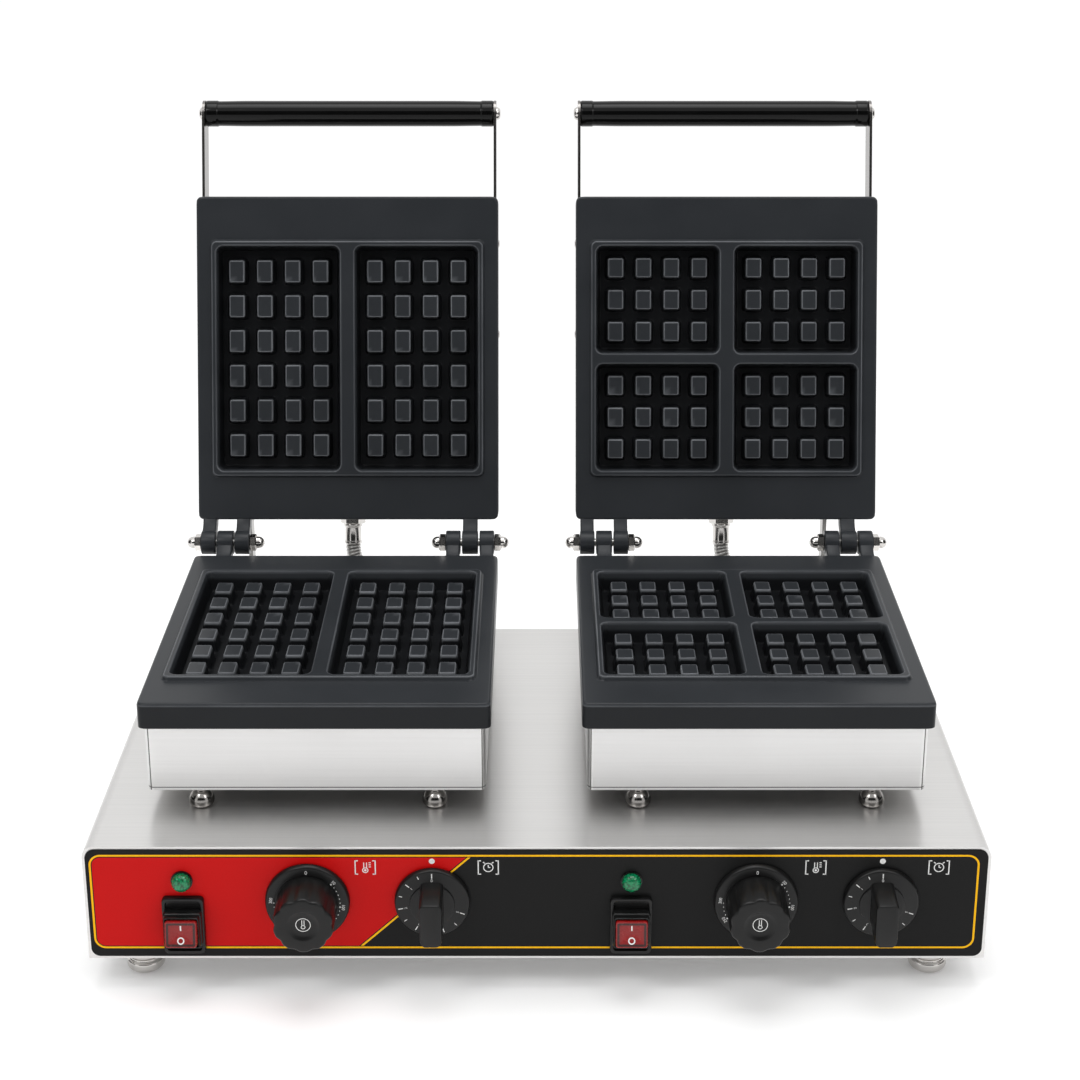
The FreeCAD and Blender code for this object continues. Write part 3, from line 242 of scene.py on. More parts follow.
def corners(name, inset):
    """The four places, on the floor plan, of like pieces that stand at the corners of one node"""
    low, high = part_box(name)
    return [(x, y) for x in (low.x + inset, high.x - inset) for y in (low.y + inset, high.y - inset)]


foot_radius = 12.5 * mm
groove_radius, collar_radius, neck_radius = 10.5 * mm, 11.7 * mm, 9.0 * mm
foot_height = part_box("base_bottom_panel")[0].z
foot_profile = softened([
    (0, 0), (foot_radius - 2.5 * mm, 0), (foot_radius, 2.5 * mm), (foot_radius, 7.5 * mm),
    (groove_radius, 8.5 * mm), (groove_radius, 10.0 * mm), (collar_radius, 11.0 * mm),
    (collar_radius, 15.0 * mm), (neck_radius, 17.0 * mm), (neck_radius, foot_height), (0, foot_height)],
    1.0 * mm)
feet = piece("base_feet_turned", [turned(foot_profile, (x, y, 0), (0, 0, 1))
                                  for x, y in corners("base_feet", foot_radius)], bright_metal, "base")
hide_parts("base_feet")

# Control overlay: a thin plastic sheet printed on its face and glued to the front of the base.
# Black, with a red field at the left end, a yellow line round the edge and another along the slant.


def reckon(operation, *values):
    """One step of arithmetic between numbers, of which the first is a node's output"""
    return node(values[0].id_data, "Math", dict(enumerate(values)), operation=operation)[0]


def overlaid(shader, share, colour):
    """Takes the shader's colour towards another one by the share"""
    under = shader.inputs["Base Color"].links[0].from_socket
    feed(shader, base_color=mixed(share, under, colour))


def print_material():
    """Printed sheet: the line is where the distance from a rectangle with round corners is near nothing"""
    material, shader, place = new_material("printed sheet", specular_ior_level=0.10)
    low, high = np.array((line_left, 0, line_low)), np.array((line_right, 0, line_high))
    half = (high - low) / 2 - line_corner
    half[1] = 1.0
    folded = vectors("ABSOLUTE", vectors("SUBTRACT", place, (low + high) / 2))
    beyond = vectors("MAXIMUM", vectors("SUBTRACT", folded, half), (0, 0, 0))
    signed = reckon("SUBTRACT", vectors("LENGTH", beyond), line_corner)
    from_frame = reckon("ABSOLUTE", signed)
    inside = reckon("LESS_THAN", signed, 0.0)
    run = np.subtract(slant_high, slant_low)
    square_to_run = np.array([run[2], 0, -run[0]]) / np.linalg.norm(run)
    side = vectors("DOT_PRODUCT", vectors("SUBTRACT", place, slant_low), square_to_run)
    from_slant = reckon("ABSOLUTE", side)
    speck = noise(place, 900.0, 2.0)
    red = mixed(speck, (0.53, 0.0035, 0.0035), (0.60, 0.006, 0.006))
    blue_black, yellow = (0.002, 0.003, 0.012), (0.95, 0.50, 0.006)
    feed(shader, base_color=mixed(speck, (0.008, 0.008, 0.008), (0.012, 0.012, 0.012)),
         roughness=ranged(speck, 0.30, 0.42), normal=raised(speck, 0.05, 0.05 * mm))
    for distance, reach, colour in ((side, 0.0, red), (from_slant, line_width, blue_black),
                                    (from_slant, line_width / 2, yellow)):
        field = reckon("LESS_THAN", distance, reach)
        overlaid(shader, reckon("MULTIPLY", field, inside), colour)
    for reach, colour in ((line_width, blue_black), (line_width / 2, yellow)):
        overlaid(shader, reckon("LESS_THAN", from_frame, reach), colour)
    return material


panel_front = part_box("control_overlay")[0].y
panel_low, panel_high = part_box("control_overlay")[0].z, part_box("control_overlay")[1].z
line_left, line_right = -285.0 * mm, 282.0 * mm
line_low, line_high = panel_low + 6.5 * mm, panel_high - 4.0 * mm
line_corner, line_width = 7.0 * mm, 1.3 * mm
slant_low = (-114.7 * mm, 0, 31.0 * mm)
slant_high = (-42.7 * mm, 0, 98.0 * mm)
dress(print_material(), "control_overlay")

# Printed marks beside the controls: white index dots over the timers, and small bracketed signs.
# They are ink of a fraction of a millimetre on the overlay's face.

INK = 0.06 * mm


def make_mottle():
    """Uneven tone: one noise takes the colour and the roughness from one end of their range to the other"""
    group, given, result = new_group("mottle", {
        "Vector": "Vector", "Scale": "Float", "Detail": "Float", "Dark": "Color", "Pale": "Color",
        "Smooth": "Float", "Rough": "Float"}, {"Color": "Color", "Roughness": "Float"})
    tone = noise(given["Vector"], given["Scale"], given["Detail"])
    give(result["Color"], mixed(tone, given["Dark"], given["Pale"]))
    give(result["Roughness"], ranged(tone, given["Smooth"], given["Rough"]))
    return group


def mottled(name, scale, detail, dark, pale, smooth, rough, **values):
    """A material of uneven tone, with all that is needed to add to it"""
    material, shader, place = new_material(name, **values)
    tone = node(place.id_data, "Group", {
        "Vector": place, "Scale": scale, "Detail": detail, "Dark": dark, "Pale": pale, "Smooth": smooth,
        "Rough": rough}, node_tree=mottle)
    feed(shader, base_color=tone["Color"], roughness=tone["Roughness"])
    return material, shader, place


def on_panel(points):
    """Takes (across, up, out) points of a drawing on the front of the base into the frame"""
    across, up, out = np.asarray(points, float).T
    return np.stack([across, panel_front - out, up], -1)


def seated(surfaces, seat, *where):
    """Surfaces carried by a function from their own space to their place"""
    return [(seat(points, *where), faces) for points, faces in surfaces]


def shifted(surfaces, middle, out=0.0):
    """Surfaces moved to a place on a drawing"""
    return seated(surfaces, np.add, (*middle, out))


def around_circle(count):
    """Ways out from the middle of a circle, evenly round it"""
    turn = even_turns(count)
    return np.stack([np.cos(turn), np.sin(turn)], -1)


def ink_patch(ring):
    """A flat patch of ink: its outline, carried out by the thickness of the print"""
    flat = np.column_stack([ring, np.zeros(len(ring))])
    return skin(np.stack([flat, flat + (0, 0, INK)]))


def ink_bar(start, end, width):
    """A straight line of ink between two points, in millimetres, as a rectangle"""
    start, end = np.array(start) * mm, np.array(end) * mm
    way = (end - start) / np.linalg.norm(end - start)
    out = np.array([-way[1], way[0]]) * width * mm / 2
    return ink_patch(np.array([start - out, end - out, end + out, start + out]))


def ink_ring(up, radius, width, around=32):
    """A circle drawn with a pen of that width, in millimetres: a closed band with a square section"""
    section = np.array([(-1, 0), (1, 0), (1, 1), (-1, 1)]) * (width * mm / 2, INK)
    reach = (radius * mm + section[:, 0])[None, :, None]
    band = np.array([0, up * mm]) + around_circle(around)[:, None] * reach
    points = np.concatenate([band, np.broadcast_to(section[:, 1][None, :, None], (around, 4, 1))], -1)
    i, j = np.meshgrid(np.arange(around), np.arange(4), indexing="ij")
    i2, j2 = (i + 1) % around, (j + 1) % 4
    faces = np.stack([i * 4 + j, i2 * 4 + j, i2 * 4 + j2, i * 4 + j2], -1).reshape(-1, 4)
    return points.reshape(-1, 3), faces.tolist()


def ink_dot(radius, around=24):
    """A round dot of that radius, in millimetres"""
    return ink_patch(radius * mm * around_circle(around))


def bracketed(sign):
    """A small sign between two square brackets"""
    high, wide, hook, pen = 5.2, 6.4, 1.8, 0.7
    bars = []
    for side in (-1, 1):
        edge, inner = side * wide, side * (wide - hook)
        bars.append(ink_bar((edge, -high), (edge, high), pen))
        bars += [ink_bar((edge, up), (inner, up), pen) for up in (-high + pen / 2, high - pen / 2)]
    return bars + sign


def clock_sign(pen=0.6):
    """An alarm clock: a ring with two hands and two ears"""
    ears = [ink_bar((side * 2.2, 3.0), (side * 3.4, 3.9), pen) for side in (-1, 1)]
    hands = [ink_bar((0, 0), (0, 1.8), pen), ink_bar((0, 0), (1.3, 0), pen)]
    return [ink_ring(0, 3.0, pen)] + ears + hands


def heat_sign(pen=0.6):
    """A thermometer: a filled bulb, a stem and three ticks"""
    bulb = [ink_ring(-2.0, 1.7, pen)] + shifted([ink_dot(0.8)], (0, -2.0 * mm))
    stem = [ink_bar((side * 0.9, -0.6), (side * 0.9, 3.6), pen) for side in (-1, 1)]
    return bulb + stem + [ink_bar((2.2, up), (3.6, up), pen) for up in (0.4, 1.9, 3.4)]


def middle_of(name):
    """Middle of a CAD node's box"""
    low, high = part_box(name)
    return (low + high) / 2


mottle = make_mottle()
white = mottled("white print", 700.0, 3.0, (0.72, 0.72, 0.71), (0.86, 0.86, 0.85), 0.40, 0.60, ior=1.48)[0]
dot_up = 95.0 * mm
sign_up = 90.5 * mm
marks = []
for station in STATIONS:
    timer_x, heat_x = middle_of(f"{station}_timer_knob").x, middle_of(f"{station}_temperature_knob").x
    marks += shifted([ink_dot(1.9)], (timer_x, dot_up))
    marks += shifted(bracketed(clock_sign()), (timer_x + 36.0 * mm, sign_up))
    marks += shifted(bracketed(heat_sign()), (heat_x + 37.5 * mm, sign_up))
panel_marks = piece("panel_marks", seated(marks, on_panel), white, "base")

# Indicator lamps: green moulded lenses with a cut pattern that catches light, each in a black bezel.
# The lens is snapped into the lamp body, which is nutted behind the panel.


def lens_surface(across):
    """Dome of facets: radius falls as a quarter ellipse, and small hollows run round it in rows"""
    rise = np.linspace(0, 1, 22)[:, None]
    turn = even_turns(72)[None, :]
    profile = np.sqrt(1 - np.clip((rise - 0.35) / 0.65, 0, 1) ** 2)
    dimple = 0.035 * np.sin(9 * np.pi * rise) * np.cos(18 * turn + np.pi * np.floor(9 * rise))
    reach = lens_radius * profile * (1 + dimple)
    return skin(np.stack([across + reach * np.cos(turn), lens_up + reach * np.sin(turn),
                          np.broadcast_to(lens_out + lens_length * rise, reach.shape)], -1))


def lens_material():
    """Green lens: clear coloured plastic over a mottled inside"""
    material, shader, place = new_material("green lens", coat_weight=0.25, coat_roughness=0.05,
                                                 ior=1.45)
    cells = node(place.id_data, "TexVoronoi", {"Vector": place, "Scale": 650.0})["Distance"]
    feed(shader, base_color=mixed(cells, (0.002, 0.30, 0.11), (0.0, 0.030, 0.010)),
         roughness=ranged(cells, 0.08, 0.25), normal=raised(cells, 0.5, 0.4 * mm))
    return material


def moulded_plastic(name, dark, pale, smooth, rough, grain, shine=0.2):
    """Moulded plastic: two near tones, each a colour or one grey, uneven gloss and a fine moulded grain"""
    dark, pale = np.broadcast_to(dark, 3), np.broadcast_to(pale, 3)
    material, shader, place = mottled(name, 45.0, 4.0, dark, pale, smooth, rough,
                                            specular_ior_level=shine)
    feed(shader, normal=raised(noise(place, 1600.0, 2.0), grain, 0.08 * mm))
    return material


black_plastic = moulded_plastic("black plastic", 0.005, 0.008, 0.16, 0.26, 0.08, 0.3)
lens_low, lens_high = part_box("indicator_lenses")
lens_radius = (lens_high.z - lens_low.z) / 2
lens_length = lens_high.y - lens_low.y
lens_out = panel_front - lens_high.y
lens_up = (lens_low.z + lens_high.z) / 2
lens_domes = [lens_surface(x) for x in (lens_low.x + lens_radius, lens_high.x - lens_radius)]
lenses = piece("indicator_lenses_cut", seated(lens_domes, on_panel), lens_material(), "base")
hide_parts("indicator_lenses")
dress(black_plastic, "indicator_bodies")

# Switch frames: black moulded frames clipped into the panel, each with a rounded lip round a sunk face.
# A stepped collar stands out of the sunk face and holds the rocker.


def rounded_rectangle(width, height, radius, per_corner=6):
    """Ring of a rectangle with round corners: a quarter circle at each corner, in order round it"""
    quarter = np.linspace(0, np.pi / 2, per_corner)
    angle = (quarter + np.arange(4)[:, None] * np.pi / 2).ravel()
    signs = np.repeat([(1, 1), (-1, 1), (-1, -1), (1, -1)], per_corner, axis=0)
    middle = signs * (np.array([width, height]) / 2 - radius)
    return middle + radius * np.stack([np.cos(angle), np.sin(angle)], -1)


def stepped(size, steps):
    """Moulding of rectangles with round corners: each step is (shrink, corner, out), in millimetres"""
    rings = []
    for shrink, corner, out in steps:
        ring = rounded_rectangle(*(np.subtract(size, shrink) * mm), corner * mm)
        rings.append(np.column_stack([ring, np.full(len(ring), out * mm)]))
    return skin(np.stack(rings))


def frame_surfaces():
    """Flange with its lip and sunk face, then the collar in two steps with the opening in it"""
    sunk, top = 2.2, (panel_front - switch_low.y) / mm
    flange = stepped(flange_size, [(0, 3.2, 0), (0, 3.2, 2.8), (0.7, 3.0, 3.65), (2.0, 2.6, 4.0),
                                   (4.4, 2.2, 3.8), (5.2, 1.9, 3.1), (5.8, 1.7, sunk)])
    opening = np.subtract(collar_size, opening_size)
    collar = stepped(collar_size, [
        (0, 1.8, sunk), (0, 1.8, top - 4.2), (0.8, 1.6, top - 3.6), (1.6, 1.5, top - 3.4),
        (1.8, 1.5, top - 0.7), (2.4, 1.3, top), (opening, 0.9, top), (opening, 0.9, 1.0)])
    box = stepped(collar_size, [(0, 1.5, (panel_front - switch_high.y) / mm), (0, 1.5, 0)])
    return [flange, collar, box]


switch_low, switch_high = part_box("switch_housings")
flange_size = 27.0, (switch_high.z - switch_low.z) / mm
collar_size = 24.6, 24.2
opening_size = 21.1, 20.6
flange_half = flange_size[0] * mm / 2
switch_up = (switch_low.z + switch_high.z) / 2
switch_surfaces = [surface for across in (switch_low.x + flange_half, switch_high.x - flange_half)
                   for surface in shifted(frame_surfaces(), (across, switch_up))]
switch_frames = piece("switch_frames", seated(switch_surfaces, on_panel), black_plastic, "base")
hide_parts("switch_housings")

# Rockers: red see-through plastic with a smoky border and white marks, tipped on two small trunnions.
# The upper half is pressed in and the lower half stands out.


def on_rocker(points, station):
    """Tips (across, up, out) points about the rocker's own axis and seats them in the frame"""
    across, up, out = np.asarray(points, float).T
    x0, y0, z0 = joints[f"{station}_switch"]["pos_m"]
    return np.stack([x0 + across, y0 - out * math.cos(rocker_tilt) + up * math.sin(rocker_tilt),
                     z0 + out * math.sin(rocker_tilt) + up * math.cos(rocker_tilt)], -1)


def rocker_face(up):
    """How far the face stands out: a shallow V that is lowest in the middle"""
    return rocker_reach - rocker_dip * (1 - np.abs(up) / (rocker_height / 2))


def rocker_surface():
    """Rings from the root up the sides, over a rounded edge and in to the middle of the V-shaped face"""
    rings, border = [], []
    for shrink, out, tone in (
            (2.0, -2.5, 0), (0.0, 0.5, 0), (0.0, None, 0), (0.5, None, 0), (1.6, None, 0), (2.0, None, 1),
            (4.6, None, 1), (5.0, None, 0.15), (9.0, None, 0), (13.0, None, 0), (16.8, None, 0)):
        ring = rounded_rectangle(rocker_width - shrink * mm, rocker_height - shrink * mm,
                                 max(1.6 - shrink / 4, 0.2) * mm)
        rounding = 0.7 * mm if shrink == 0 else 0.2 * mm if shrink < 1.0 else 0.0
        height = rocker_face(ring[:, 1]) - rounding if out is None else np.full(len(ring), out * mm)
        rings.append(np.column_stack([ring, height]))
        border.append(np.full(len(ring), tone))
    return skin(np.stack(rings)), np.concatenate(border)


def attribute(shader, name):
    """A number that the piece carries at each of its points"""
    return node(shader.id_data, "Attribute", {}, attribute_name=name)["Fac"]


rocker_red, red_shader, _ = mottled(
    "red rocker", 260.0, 3.0, (0.20, 0.005, 0.005), (0.30, 0.010, 0.010), 0.18, 0.34, coat_weight=0.15,
    coat_roughness=0.12, ior=1.4)
overlaid(red_shader, attribute(red_shader, "border"), (0.040, 0.010, 0.010))
rocker_width, rocker_height = 20.4 * mm, 17.4 * mm
rocker_reach, rocker_dip = 7.0 * mm, 1.6 * mm
joints = {joint["child"]: joint for joint in frame["joints"]}
rocker_tilt = math.radians(joints["left_switch"]["range_deg"][1] / 2)
for station in STATIONS:
    surface, border = rocker_surface()
    rocker = piece(f"{station}_rocker_moulded", seated([surface], on_rocker, station), rocker_red,
                   f"{station}_switch", border=border)
    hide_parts(f"{station}_rocker")
    signs = [(points + np.outer(rocker_face(points[:, 1]), (0, 0, 1)), faces) for points, faces
             in (ink_bar((0, 2.4), (0, 6.0), 0.9), ink_ring(-4.2, 1.9, 0.8))]
    rocker_marks = piece(f"{station}_rocker_marks", seated(signs, on_rocker, station), white,
                         f"{station}_switch")

# Temperature knobs: black moulded knobs with scalloped sides and a dished face, on a wide sloping dial.
# Each is pushed onto a steel spindle, and its dial is printed with plain numbers.


def rows(radius, out, *steps):
    """Rows of a profile near one radius and height: a step is (radius, out, share of a knob's hollows)"""
    return [(radius + across * mm, out + along * mm, share) for across, along, share in steps]


def knob_surface(profile, scallops, depth, middle, around=160):
    """Lathe form whose radius is drawn in by a row of round hollows: depth times a sharp cosine round it"""
    turn = even_turns(around)[None, :]
    radius, out, share = np.asarray(profile, float).T[:, :, None]
    hollow = (0.5 + 0.5 * np.cos(scallops * turn)) ** 2
    reach = np.maximum(radius - depth * share * hollow, 0)
    return skin(np.stack([middle[0] + reach * np.cos(turn), middle[1] + reach * np.sin(turn),
                          np.broadcast_to(out, reach.shape)], -1))


def read_curve(curve):
    """Points and faces of the mesh that a curve makes, after which the curve is deleted"""
    holder = bpy.data.objects.new("curve", curve)
    bpy.context.scene.collection.objects.link(holder)
    mesh = bpy.data.meshes.new_from_object(holder.evaluated_get(bpy.context.evaluated_depsgraph_get()))
    points = np.empty(len(mesh.vertices) * 3)
    mesh.vertices.foreach_get("co", points)
    faces = [list(polygon.vertices) for polygon in mesh.polygons]
    bpy.data.objects.remove(holder)
    bpy.data.curves.remove(curve)
    bpy.data.meshes.remove(mesh)
    return points.reshape(-1, 3), faces


def lettering(text, height):
    """Outline of a plain number, centred on its own middle, with the thickness of the print"""
    curve = bpy.data.curves.new("number", "FONT")
    curve.body = text
    curve.size = height * mm
    curve.align_x, curve.align_y = "CENTER", "CENTER"
    curve.extrude = INK / 2
    curve.resolution_u = 3
    points, faces = read_curve(curve)
    return points + (0, 0, INK / 2), faces


def on_dial(surface, degrees, radius, middle):
    """A mark moved out to the radius and turned clockwise about the dial's middle"""
    turn = math.radians(degrees)
    across, up, lift = surface[0].T
    up = up + radius * mm
    points = np.stack([middle[0] + across * math.cos(turn) + up * math.sin(turn),
                       middle[1] - across * math.sin(turn) + up * math.cos(turn), lift + skirt_out], -1)
    return points, surface[1]


def steel_rod(name, pale, dark):
    """Plain drawn steel with fine marks along it"""
    return brushed_steel(name, (500.0, 60.0, 500.0), pale, dark, 0.25, 0.40, 0.08)


knob_black = moulded_plastic("knob black", 0.006, 0.010, 0.26, 0.36, 0.06, 0.26)
plain_steel = steel_rod("plain steel", (0.55, 0.545, 0.53), (0.44, 0.435, 0.42))
skirt_gap = 0.5 * mm
skirt_out = 4.5 * mm
knob_out = panel_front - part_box("left_temperature_knob")[0].y
face_out = knob_out - 2.0 * mm
knob_radius, skirt_radius, dish_radius = 19.3 * mm, 27.2 * mm, 10.2 * mm
scallop_count, scallop_depth = 10, 1.1 * mm
knob_profile = (
    rows(0, skirt_gap, (0, 0, 0))
    + rows(skirt_radius, skirt_gap, (-0.3, 0, 0), (0, 0.5, 0))
    + rows(skirt_radius, skirt_out, (-0.4, -1.2, 0), (-1.2, -0.3, 0), (-2.2, 0, 0))
    + rows(knob_radius, skirt_out, (1.8, 0, 0), (1.5, -0.6, 0), (0.6, -0.6, 0.2))
    + rows(knob_radius, skirt_out, (0.4, 3.0, 0.4), (0.2, 6.0, 0.9))
    + rows(knob_radius, knob_out, (0, -1.8, 1), (-0.3, -0.9, 1), (-0.9, -0.3, 1), (-1.8, 0, 1))
    + rows(dish_radius, knob_out, (3.0, 0, 0.6), (0.6, 0, 0), (0, -0.2, 0), (-1.4, -1.2, 0), (-3.4, -1.9, 0))
    + rows(0, face_out, (0, 0, 0)))
number_radius, scale_radius, number_step = 23.2, 21.2, 48
for station in STATIONS:
    body = f"{station}_temperature"
    middle = tuple(middle_of(f"{body}_knob").xz)
    form = knob_surface(knob_profile, scallop_count, scallop_depth, middle)
    knob = piece(f"{station}_temperature_knob_moulded", seated([form], on_panel), knob_black, body)
    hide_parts(f"{station}_temperature_knob")
    dial = [on_dial(lettering("0", 3.6), 0, number_radius - 0.6, middle)]
    dial += [on_dial(lettering(str(50 * (step + 1)), 2.9), degrees, number_radius, middle)
             for step, degrees in enumerate((48, 96, 144, 192, 240, 276))]
    dial += [on_dial(ink_dot(0.35 if degrees % number_step else 0.6, 10), degrees, scale_radius, middle)
             for degrees in range(48, 277, 8)]
    pen = 0.45
    sign = [ink_ring(0, 4.6, pen), ink_ring(-1.6, 1.2, pen)]
    sign += [ink_bar((side, -0.7), (side, 3.4), pen) for side in (-0.7, 0.7)]
    dial += shifted(sign, middle, face_out + INK / 3)
    dial_marks = piece(f"{station}_temperature_dial_marks", seated(dial, on_panel), white, body)
    dress(plain_steel, f"{station}_temperature_spindle", f"{station}_timer_spindle")

# Timer knobs: a flat printed dial with a low round hub and a tall bar to turn it by.
# The bar is narrower in front than at its root, flat on top and round at its lower end.


def bar_surface(middle):
    """Bar of five sections: a stadium that narrows and shortens from the hub to the front"""
    rings = []
    for out, wide, up, down, corner in (
            (skirt_out, 14.8, 15.6, 15.6, 3.0), (skirt_out + 6 * mm, 14.6, 14.8, 16.0, 3.0),
            (bar_out - 1.4 * mm, 14.2, 13.4, 16.8, 3.0), (bar_out - 0.4 * mm, 13.7, 13.0, 16.5, 2.9),
            (bar_out, 12.6, 12.2, 15.8, 2.6)):
        width = wide * mm
        ring = rounded_rectangle(width, (up + down) * mm, corner * mm, 8)
        bulge = np.sqrt(np.clip(1 - (ring[:, 0] / (width / 2)) ** 2, 0, 1)) * width * 0.22
        ring[:, 1] += (up - down) * mm / 2 - np.where(ring[:, 1] < 0, bulge - width * 0.16, 0)
        rings.append(np.column_stack([ring + middle, np.full(len(ring), out)]))
    return skin(np.stack(rings))


def tick(low, high, width):
    """A short stroke that points to the dial's middle"""
    return ink_bar((0, low), (0, high), width)


bar_out = panel_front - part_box("left_timer_knob")[0].y
timer_skirt, hub_radius = 24.3 * mm, 14.6 * mm
timer_profile = (
    rows(0, skirt_gap, (0, 0, 0))
    + rows(timer_skirt, skirt_gap, (-0.3, 0, 0), (0, 0.5, 0))
    + rows(timer_skirt, skirt_out, (-0.3, -1.2, 0), (-0.9, -0.3, 0), (-1.7, 0, 0))
    + rows(hub_radius, skirt_out, (0.5, 0, 0), (0, 0.3, 0), (-0.3, 1.6, 0), (-1.0, 2.0, 0))
    + rows(0, skirt_out, (0, 2.0, 0)))
tick_radius, half_tick_radius, minute_radius, minute_step = 20.2, 20.6, 17.0, 50
for station in STATIONS:
    body = f"{station}_timer"
    middle = tuple(middle_of(f"{body}_knob").xz)
    forms = [knob_surface(timer_profile, 1, 0, middle, 96), bar_surface(middle)]
    knob = piece(f"{station}_timer_knob_moulded", seated(forms, on_panel), knob_black, body)
    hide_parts(f"{station}_timer_knob")
    dial = [on_dial(tick(-1.6, 1.8, 0.7), 0, tick_radius, middle)]
    dial.append(on_dial(lettering("0", 3.0), 0, minute_radius, middle))
    for step in range(1, 6):
        degrees = -minute_step * step
        dial.append(on_dial(tick(-1.3, 1.8, 0.6), degrees, tick_radius, middle))
        dial.append(on_dial(lettering(str(step), 2.4), degrees, minute_radius, middle))
        dial.append(on_dial(tick(-0.8, 1.4, 0.5), degrees + minute_step / 2, half_tick_radius, middle))
    dial_marks = piece(f"{station}_timer_dial_marks", seated(dial, on_panel), white, body)

# Inside the base: thermostats and timers behind the panel, the sensing bulbs, and the supply terminals.
# All are bought-in parts in pale moulded insulation or drawn copper, and the cord gland is black nylon.

pale_plastic = moulded_plastic("pale insulation", (0.70, 0.67, 0.58), (0.80, 0.78, 0.70), 0.40, 0.55, 0.10)
copper = brushed_steel("drawn copper", (60.0, 500.0, 500.0), (0.80, 0.46, 0.30), (0.62, 0.33, 0.20),
                       0.20, 0.35, 0.05)
dress(pale_plastic, "thermostat_bodies", "timer_bodies", "terminal_block")
dress(copper, "thermostat_bulbs")
dress(black_plastic, "cord_gland")

# Lower housings: bent steel tubs under the baking plates, brushed level on the front and sides.
# Each stands on four turned ball feet that are screwed to the base.


def seamed_steel(name, box):
    """Brushed sheet with a thin dark line of painted shade beside each bent corner and above the lower edge
    of the tub's box
    """
    material = brushed_steel(name, (9.0, 9.0, 700.0), (0.84, 0.835, 0.83), (0.775, 0.77, 0.765),
                             0.36, 0.46, 0.04, blur=(0.0, 0.0, 1.0))
    tree = material.node_tree
    place = tree.nodes["Texture Coordinate"].outputs["Object"]
    low, high = np.array(box)
    folded = vectors("ABSOLUTE", vectors("SUBTRACT", place, (low + high) / 2))
    across = node(tree, "SeparateXYZ", {0: folded})["X"]
    up = node(tree, "SeparateXYZ", {0: place})["Z"]
    # Painted shade: a thin dark line beside each bent corner and above the lower edge.
    corner = reckon("COMPARE", across, (high - low)[0] / 2 - 2.2 * mm, 0.35 * mm)
    lower = reckon("COMPARE", up, low[2] + 2.0 * mm, 0.3 * mm)
    overlaid(tree.nodes["Principled BSDF"], reckon("MAXIMUM", corner, lower), (0.10, 0.10, 0.095))
    return material


# Painted shade: a darker copy of the nickel for the ball feet, which stand in shade under the tubs.
shaded_foot_nickel = brushed_steel("polished foot nickel", (160.0, 160.0, 160.0), (0.34, 0.325, 0.31),
                            (0.24, 0.23, 0.22), 0.10, 0.18, 0.03)
ball = 8.5 * mm
ball_outline = np.array([(0, 0), (0.76, 0), (0.97, 0.12), (1, 0.30), (0.90, 0.52), (0.66, 0.70), (0.44, 0.80),
                         (0.44, 1), (0, 1)])
for station in STATIONS:
    tub_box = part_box(f"{station}_lower_housing")
    dress(seamed_steel(f"{station} tub sheet steel", tub_box), f"{station}_lower_housing")
    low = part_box("base_shell")[1].z
    ball_profile = softened(ball_outline * (ball, tub_box[0].z - low), 1.2 * mm)
    places = corners(f"{station}_station_feet", ball)
    balls = [turned(ball_profile, (x, y, low), (0, 0, 1)) for x, y in places]
    ball_feet = piece(f"{station}_ball_feet", balls, shaded_foot_nickel, "base")
    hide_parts(f"{station}_station_feet")

# Baking plates: cast aluminium with a dark non-stick coating, sand-blasted before coating.
# A raised rim frames the cavities, whose sloping pegs press the pockets; the lids carry the same casting.


def on_lower(points, station):
    """From a station's own frame, with the hinge axis through its origin, into the shared one"""
    return points + HINGE[station]


def on_lid(points, station):
    """The same for a lid: turned over about the front-to-back axis and swung open about the hinge"""
    x, y, z = np.asarray(points, float).T * np.array((-1, 1, -1))[:, None]
    swung = np.stack([x, y * math.cos(open_angle) + z * math.sin(open_angle),
                      -y * math.sin(open_angle) + z * math.cos(open_angle)], -1)
    return swung + HINGE[station]


def edge_distance(x, y, half_x, half_y, radius):
    """Distance from the edge of a rectangle with round corners, negative inside"""
    dx, dy = np.abs(x) - (half_x - radius), np.abs(y) - (half_y - radius)
    return np.hypot(np.maximum(dx, 0), np.maximum(dy, 0)) + np.minimum(np.maximum(dx, dy), 0) - radius


def rim_distance(x, y):
    """Distance from the outer edge of the rim"""
    return edge_distance(x, y, rim_width / 2, rim_length / 2, rim_corner)


def nearest_peg(offset, pitch, count):
    """How far a place is from the middle of its nearest peg in a row"""
    index = np.clip(np.round(offset / pitch + (count - 1) / 2), 0, count - 1)
    return offset - (index - (count - 1) / 2) * pitch


def cavity_distances(x, y, form):
    """For each cavity, the distances from the edge of its wall and from the edge of the nearest peg"""
    for middle_x in form["columns"]:
        for middle_y in form["rows"]:
            across, along = x - middle_x, y - middle_y
            wall = edge_distance(across, along, cavity_width / 2, form["length"] / 2, cavity_corner)
            across = nearest_peg(across, peg_pitch, PEG_COLUMNS)
            along = nearest_peg(along, form["pitch"], form["pegs"])
            yield wall, edge_distance(across, along, peg_half, form["half"], peg_corner)


def eased(share):
    """A ramp from 0 to 1 with both ends rounded off"""
    share = np.clip(share, 0, 1)
    return 0.45 * share + 0.55 * share ** 2 * (3 - 2 * share)


def plate_height(x, y, form):
    """Height of the casting's face: flange, plus rim, minus sloping cavities, plus their pegs"""
    over = np.maximum(edge_distance(x, y, plate_width / 2, plate_length / 2, plate_corner) + plate_round, 0)
    height = flange_top - plate_round + np.sqrt(np.maximum(plate_round ** 2 - over ** 2, 0))
    height += rim_height * eased(-rim_distance(x, y) / rim_run)
    for wall, peg in cavity_distances(x, y, form):
        height -= cavity_depth * eased(-wall / wall_run)
        height += np.where(wall < 0, peg_height * eased(0.5 - peg / peg_run), 0)
    return height


def rubbed(away):
    """One on an edge, falling with the square of the distance from it"""
    return np.clip(1 - (away / edge_reach) ** 2, 0, 1)


